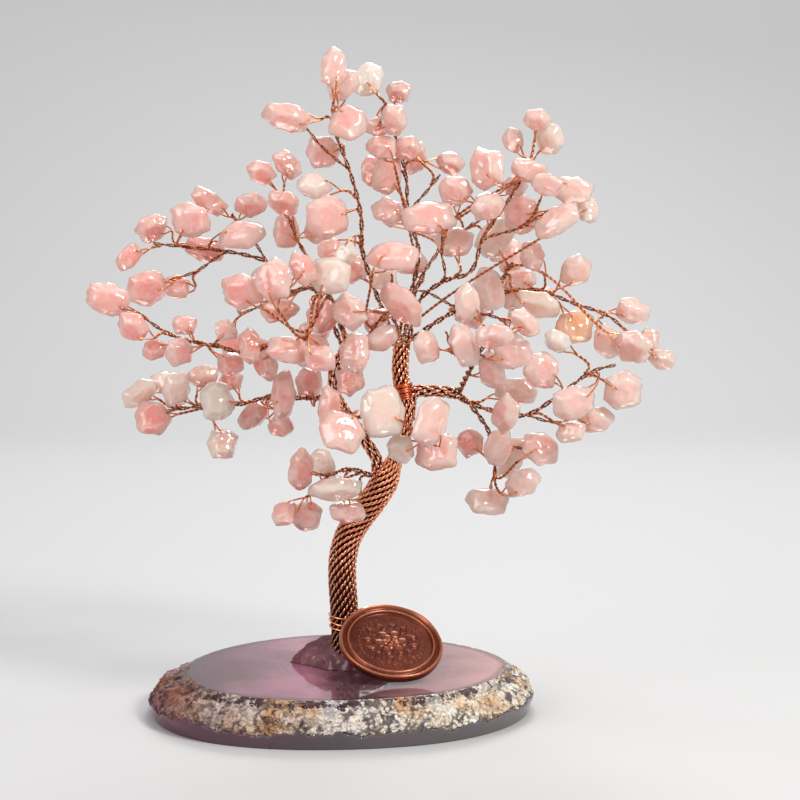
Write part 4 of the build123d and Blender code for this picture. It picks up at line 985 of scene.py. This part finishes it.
def slab_levels():
    """The slab's outlines from its foot to its top, evenly round it."""
    points = solids_of("agate_slab")[0][0]
    angles = np.linspace(0, 2 * pi, SLAB_COLUMNS, endpoint=False)
    window = np.hanning(2 * SLAB_SMOOTHING + 1)
    levels = []
    heights = np.round(points[:, 2], SLAB_LEVEL_DIGITS)
    for height in np.unique(heights):
        ring = points[heights == height]
        turn = np.arctan2(ring[:, 1], ring[:, 0]) % (2 * pi)
        order = turn.argsort()
        reach = np.interp(angles, turn[order], norm(ring[order, :2], axis=1), period=2 * pi)
        padded = np.pad(reach, SLAB_SMOOTHING, "wrap")
        reach = np.convolve(padded, window / window.sum(), "valid")
        level = np.full(SLAB_COLUMNS, ring[:, 2].mean())
        levels.append(np.stack((reach * np.cos(angles), reach * np.sin(angles), level), axis=1))
    return np.array(levels)


def noise_at(places, shift=(0, 0, 0)):
    """Random waves from -1 to 1 at some places."""
    return np.array([noise.noise(Vector(place) + Vector(shift)) for place in places])


def grain(place, size):
    """How high a knobbly crust stands at a place, from 0 to 1."""
    distances, _ = noise.voronoi(Vector(place) / size)
    return 1 - min(1, distances[0] / SLAB_KNOB_REACH) ** 2


def agate_slab():
    """The slab's side with its knobbly crust, and its flat polished top."""
    levels = slab_levels()
    top = levels[-1][0][2]
    band = levels[1][0][2]
    outs = unit(levels[0] * (1, 1, 0))
    waves = sum(share * noise_at(outs * fineness) for fineness, share in SLAB_EDGE_NOISES)
    edges = band + SLAB_EDGE_WAVE * waves
    brows = top - SLAB_BROW_WAVE * (0.5 + 0.5 * noise_at(outs * SLAB_BROW_FINENESS))
    rows = []
    crust = []
    inward = []
    for row in rows_between(levels, SLAB_ROWS):
        heights = row[:, 2].copy()
        cover = smooth_share((heights - edges) / SLAB_EDGE_FADE)
        sink = cover * smooth_share((brows - heights) / SLAB_BROW_FADE)
        knobs = np.array([sum(share * grain(place, size) for size, share in SLAB_KNOBS) for place in row])
        depth = SLAB_GRAIN * (knobs - 1)
        row = row + outs * (depth * sink)[:, None]
        row[:, 2] = np.minimum(heights + SLAB_SAG_SHARE * depth * sink, top)
        rows.append(row)
        under_brow = smooth_share((brows - heights) / SLAB_BROW_GAPS)
        over_edge = smooth_share((heights - edges) / SLAB_EDGE_GAPS)
        crust.append(cover * (SLAB_BARE + (1 - SLAB_BARE) * under_brow * over_edge))
        inward.append(np.zeros(SLAB_COLUMNS))
    edge_ring = rows[-1]
    for share in SLAB_TOP_SHARES:
        rows.append(edge_ring * (share, share, 1))
        shift = (SLAB_RIM_START, SLAB_RIM_START, share * SLAB_RIM_CHANGE)
        rim = 1 - (1 - share) / SLAB_RIM_SHARE + SLAB_RIM_WAVE * noise_at(outs * SLAB_RIM_FINENESS, shift)
        crust.append(SLAB_BARE * np.clip(rim, 0, 1))
        inward.append(np.full(SLAB_COLUMNS, 1 - share))
    slice_parts = [closed_rows(rows, (0, 0, top), (0, 0, 0))]
    piece = add_piece("agate_slice", slice_parts, "tree", AGATE, ["agate_slab"])
    add_layer(piece, "crust", [*crust, (0, 0)])
    add_layer(piece, "inward", [*inward, (1, 0)])


def agate_material():
    """Polished mauve agate with painted reflections, a dark line under a knobbly, cream and tan crust with
    painted shadow below it, and painted shade in the crust's crevices and pits.
    """
    nodes = Nodes("agate")
    nodes.set(IOR=1.38)
    place = nodes.add("ShaderNodeSeparateXYZ")
    nodes.link(nodes.place(), place.inputs[0])
    across = nodes.plus(nodes.times(place.outputs["X"], 8.5), 0.5)
    across = nodes.plus(across, nodes.spread(nodes.noise(24, 4), 0.45))
    crust = nodes.attribute("crust")
    ragged = nodes.plus(crust, nodes.spread(nodes.noise(300, 4, 0.75), 1.7))
    mask = nodes.fade(ragged, 0.44, 0.5)

    # Painted reflections on the polished top: a pink wall on the left and the dark crown in the middle.
    stone = nodes.ramp(across, AGATE_AND_REFLECTION_TONES)
    wisps = nodes.fade(nodes.noise(55, 6, 0.7, 1.5), 0.42, 0.75)
    stone = nodes.over(stone, (0.62, 0.44, 0.50), wisps, nodes.fade(across, 0.15, 0.45, 0.02, 0.16))
    inward = nodes.plus(nodes.attribute("inward"), nodes.times(nodes.noise(40, 4), 0.06))
    rings = nodes.fade(nodes.math("SINE", nodes.times(inward, 130.0)), 0.5, 1.0)
    stone = nodes.over(stone, (0.60, 0.42, 0.48), rings, 0.05)
    rim = nodes.ramp(inward, ((0.0, 0.8), (0.03, 1.0), (0.05, 0.45), (0.06, 0.7), (0.1, 0.0)))
    stone = nodes.over(stone, (0.045, 0.02, 0.03), rim, 0.85)
    low = nodes.fade(nodes.times(place.outputs["Z"], 100.0), 0.6, 1.2, 1.0, 0.0)
    stone = nodes.mix(low, stone, nodes.ramp(across, BAND_TONES))
    # A dark halo on both sides of the crust: the agate's own dark line under the top, and painted shadow
    # below the crust on the side.
    stone = nodes.mix(nodes.fade(ragged, 0.24, 0.4, 0.0, 0.85), stone, (0.035, 0.016, 0.024))

    rind = nodes.ramp(nodes.noise(75, 5, 0.65, 0.5), RIND_TONES)
    sizes = nodes.fade(nodes.noise(95, 3), 0.46, 0.54)
    cells = nodes.mix(sizes, nodes.voronoi(720), nodes.voronoi(400))
    cells = nodes.plus(cells, nodes.spread(nodes.noise(300, 5), 1.3))
    collar = nodes.ramp(cells, ((0.2, 0.0), (0.32, 1.0), (0.45, 0.0)))
    collar = nodes.times(collar, nodes.fade(nodes.noise(190, 3), 0.5, 0.6))
    rind = nodes.over(rind, (0.66, 0.36, 0.14), collar, 0.55)
    # Painted shade in the crevices between the crust's knobs, stronger in patches, and painted shade in its
    # pits.
    depth = nodes.fade(nodes.noise(120, 3), 0.4, 0.58, 0.35, 0.9)
    rind = nodes.over(rind, (0.085, 0.06, 0.065), nodes.fade(cells, 0.42, 0.68), depth)
    pit_shade = nodes.fade(nodes.noise(420, 3, 0.7), 0.33, 0.43, 1.0, 0.0)
    rind = nodes.over(rind, (0.06, 0.04, 0.055), pit_shade, 0.85)
    # The crust darker and redder towards the left.
    rind = nodes.mix(1.0, rind, nodes.ramp(across, CRUST_ACROSS_TONES), "MULTIPLY")

    nodes.set(Base_Color=nodes.mix(mask, stone, rind), Roughness=nodes.mix(mask, (0.045,) * 3, (0.8,) * 3))
    knobs = nodes.math("SUBTRACT", 1.0, nodes.plus(cells, nodes.times(nodes.voronoi(1350), 0.4)))
    nodes.bump(nodes.times(knobs, mask), 1.0, 0.0013)
    return nodes.material


AGATE = agate_material()
agate_slab()


# Foot mound

def closed_smooth(points, count):
    """Evenly spread points on a smooth closed line through some points."""
    points = np.asarray(points, float)
    ways = np.linspace(0, len(points), count, endpoint=False)
    number = ways.astype(int)
    share = (ways - number)[:, None]
    a, b, c, d = (points[(number + step) % len(points)] for step in (-1, 0, 1, 2))
    curve = 0.5 * (
        2 * b + (c - a) * share + (2 * a - 5 * b + 4 * c - d) * share**2 + (3 * b - a - 3 * c + d) * share**3
    )
    straight = b + (c - b) * share
    return curve * MOUND_ROUND_SHARE + straight * (1 - MOUND_ROUND_SHARE)


def foot_mound():
    """A lump with flat facets on a smooth outline, from the slab to its flat top."""
    low, high = (np.array(corner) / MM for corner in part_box("foot_mound"))
    middle = (low + high) / 2
    half = (high - low) / 2
    rows = []
    for lift, spread in MOUND_LEVEL_SHARES:
        outline = [(across * spread, back * spread) for across, back in MOUND_SHARES]
        ring = closed_smooth(outline, MOUND_COLUMNS)
        places = np.empty((MOUND_COLUMNS, 3))
        places[:, :2] = middle[:2] + ring * half[:2]
        places[:, 2] = low[2] + lift * 2 * half[2]
        rows.append(places)
    full = rows_between(rows, MOUND_ROWS)
    for row in full[1:]:
        for place in row:
            away = unit((place - middle) * (1, 1, MOUND_UPWARD_SHARE))
            near, next_near, *_ = noise.voronoi(Vector(place) / MOUND_FACET)[0]
            lift = MOUND_FACET_LIFT * (next_near - near - MOUND_FACET_LEVEL)
            place += away * (lift + MOUND_GRAIN_LIFT * noise.noise(Vector(place) / MOUND_GRAIN))
    full[:, :, 2] = np.clip(full[:, :, 2], low[2], high[2])
    lump = closed_rows(full, full[-1].mean(axis=0), (middle[0], middle[1], low[2]))
    add_piece("foot_lump", [lump], "tree", RESIN, ["foot_mound"])


def resin_material():
    """Smoky, translucent quartz with wisps."""
    nodes = Nodes("smoky_resin")
    nodes.set(Transmission_Weight=0.4, IOR=1.5, Subsurface_Weight=0.2, Subsurface_Scale=0.004)
    tone = nodes.ramp(nodes.noise(120, 4, 0.6, 1.2), RESIN_TONES)
    nodes.set(Base_Color=tone, Roughness=nodes.fade(nodes.noise(260, 2), 0.4, 0.7, 0.1, 0.28))
    nodes.bump(nodes.noise(240, 4, 0.6), 0.35, 0.0006)
    return nodes.material


RESIN = resin_material()
foot_mound()


# Medallion

def oval_place(x, y, place, turn, lean, reach, width):
    """How far places lie along and across a leaning oval some way out at a turn."""
    dx = x - place * cos(turn)
    dy = y - place * sin(turn)
    return (dx * cos(lean) + dy * sin(lean)) / reach, (dy * cos(lean) - dx * sin(lean)) / width


def dome(x, y, place, turn, reach, width):
    """A dome's height, from 0 to 1, over an oval some way out at a turn."""
    along, across = oval_place(x, y, place, turn, turn, reach, width)
    return np.sqrt(np.clip(1 - along**2 - across**2, 0, 1))


def blossom(x, y):
    """The height of a generic flower with leaves and beads at places on the face."""
    height = np.zeros_like(x)
    for count, place, reach, width, lift, start in PETAL_RINGS:
        for number in range(count):
            turn = 2 * pi * (number + start) / count
            height = np.maximum(height, lift * dome(x, y, place, turn, reach, width))
    for number in range(LEAF_COUNT):
        turn = 2 * pi * (number + 0.5) / LEAF_COUNT
        lean = turn + LEAF_LEAN * (1 if number % 2 else -1)
        along, across = oval_place(x, y, LEAF_RING_RADIUS, turn, lean, LEAF_REACH, LEAF_WIDTH)
        inside = np.sqrt(np.clip(1 - along**2 - np.abs(across) ** LEAF_POINT, 0, 1))
        vein = np.exp(-((across / LEAF_VEIN_WIDTH) ** 2)) * (inside > 0)
        height = np.maximum(height, LEAF_LIFT * (inside - LEAF_VEIN_DEPTH * vein))
    for number in range(BEAD_COUNT):
        turn = 2 * pi * number / BEAD_COUNT
        bead = dome(x, y, BEAD_RING_RADIUS, turn, BEAD_RADIUS, BEAD_RADIUS)
        height = np.maximum(height, BEAD_RADIUS * bead)
    return height


def medallion():
    """A disc with a raised rim, a groove and a flower, where its solid lies."""
    points = solids_of("medallion")[0][0]
    middle = points.mean(axis=0)
    _, _, directions = np.linalg.svd(points - middle, full_matrices=False)
    face = directions[2] if directions[2][2] > 0 else -directions[2]
    heights = (points - middle) @ face
    half = (heights.max() - heights.min()) / 2
    centre = middle + face * (heights.max() - half)
    spokes = points - centre
    radius = norm(spokes - np.outer(spokes @ face, face), axis=1).max()
    across = unit(np.cross(UPWARDS, face))
    up = np.cross(face, across)
    corners = [(share * radius, height * half, 0) for share, height in MEDALLION_SHARES]
    profile = smooth_line(corners, MEDALLION_STEP)
    angles = 2 * pi * np.arange(MEDALLION_COLUMNS) / MEDALLION_COLUMNS
    rows = []
    raised = []
    for reach, height, _ in profile:
        outer = smooth_share((reach / radius - MEDALLION_EDGE_SHARE) / MEDALLION_EDGE_FADE)
        waves = [share * np.sin(count * angles + start) for share, count, start in MEDALLION_WAVE_SHARES]
        wave = 1 - outer * sum(waves, MEDALLION_SHRINK_SHARE)
        x = reach * wave * np.cos(angles)
        y = reach * wave * np.sin(angles)
        relief = height > 0 and reach < BEAD_RING_RADIUS + 2 * BEAD_RADIUS
        rise = height + (blossom(x, y) if relief else np.zeros_like(x))
        raised.append(rise / half)
        rows.append(centre + np.outer(x, across) + np.outer(y, up) + np.outer(rise, face))
    seal = closed_rows(rows, rows[-1].mean(axis=0), rows[0].mean(axis=0))
    piece = add_piece("medallion_seal", [seal], "medallion", WAX, ["medallion"])
    add_layer(piece, "raised", [*raised, (0, 0)])


def wax_material():
    """Copper-brown sealing wax with a soft metal sheen and painted highlights where it stands up."""
    nodes = Nodes("seal_wax")
    nodes.set(Metallic=0.6, IOR=1.46)
    tone = nodes.ramp(nodes.noise(130, 4), WAX_TONES)
    # Painted highlight on the relief: lighter copper where it stands higher.
    lit = nodes.fade(nodes.attribute("raised"), 0.4, 0.95)
    tone = nodes.over(tone, (0.52, 0.17, 0.08), lit, 0.7)
    nodes.set(Base_Color=tone, Roughness=nodes.fade(nodes.noise(420, 3), 0.35, 0.7, 0.20, 0.34))
    nodes.bump(nodes.noise(700, 4, 0.6), 0.2, 0.0001)
    return nodes.material


WAX = wax_material()
medallion()


# Stage, lights and camera

def add_stage():
    """A pale floor that curves up into a backdrop."""
    profile = [(FLOOR_FRONT, 0.0), (WALL_PLACE - COVE_RADIUS, 0.0)]
    for step in range(1, COVE_STEPS + 1):
        angle = pi / 2 * step / COVE_STEPS
        y = WALL_PLACE - COVE_RADIUS + COVE_RADIUS * sin(angle)
        profile.append((y, COVE_RADIUS - COVE_RADIUS * cos(angle)))
    profile.append((WALL_PLACE, WALL_TOP))
    points = [(side * FLOOR_HALF_WIDTH, y, z) for y, z in profile for side in (-1, 1)]
    faces = [(2 * n, 2 * n + 1, 2 * n + 3, 2 * n + 2) for n in range(len(profile) - 1)]
    nodes = Nodes("floor")
    nodes.set(Base_Color=FLOOR_COLOUR, Roughness=FLOOR_ROUGHNESS)
    add_mesh("floor", points, faces, nodes.material)


def add_light(name, place, size, power, colour, aim):
    """A round lamp at a place, turned to what it lights."""
    light = bpy.data.lights.new(name, "AREA")
    light.shape = "DISK"
    light.size = size
    light.energy = power
    light.color = colour
    lamp = add_object(name, light)
    lamp.location = place
    lamp.rotation_euler = (Vector(aim) - Vector(place)).to_track_quat("-Z", "Y").to_euler()


def add_camera():
    """The camera, a little above the slab and far off, looking slightly down."""
    camera = bpy.data.cameras.new("camera")
    camera.lens = CAMERA_LENS
    camera.sensor_width = CAMERA_SENSOR
    camera.clip_start = CAMERA_NEAR
    seat = add_object("camera", camera)
    seat.location = Vector(CAMERA_PLACE) * MM
    seat.rotation_euler = (radians(90 - CAMERA_PITCH_DEGREES), 0, 0)
    bpy.context.scene.camera = seat


add_stage()
for name, settings in LIGHTS.items():
    add_light(name, *settings)
add_camera()
world = bpy.data.worlds.new("world")
world.use_nodes = True
sky = world.node_tree.nodes["Background"]
sky.inputs["Color"].default_value = (*WORLD_COLOUR, 1)
sky.inputs["Strength"].default_value = WORLD_STRENGTH
bpy.context.scene.world = world
bpy.context.scene.view_settings.view_transform = "Standard"
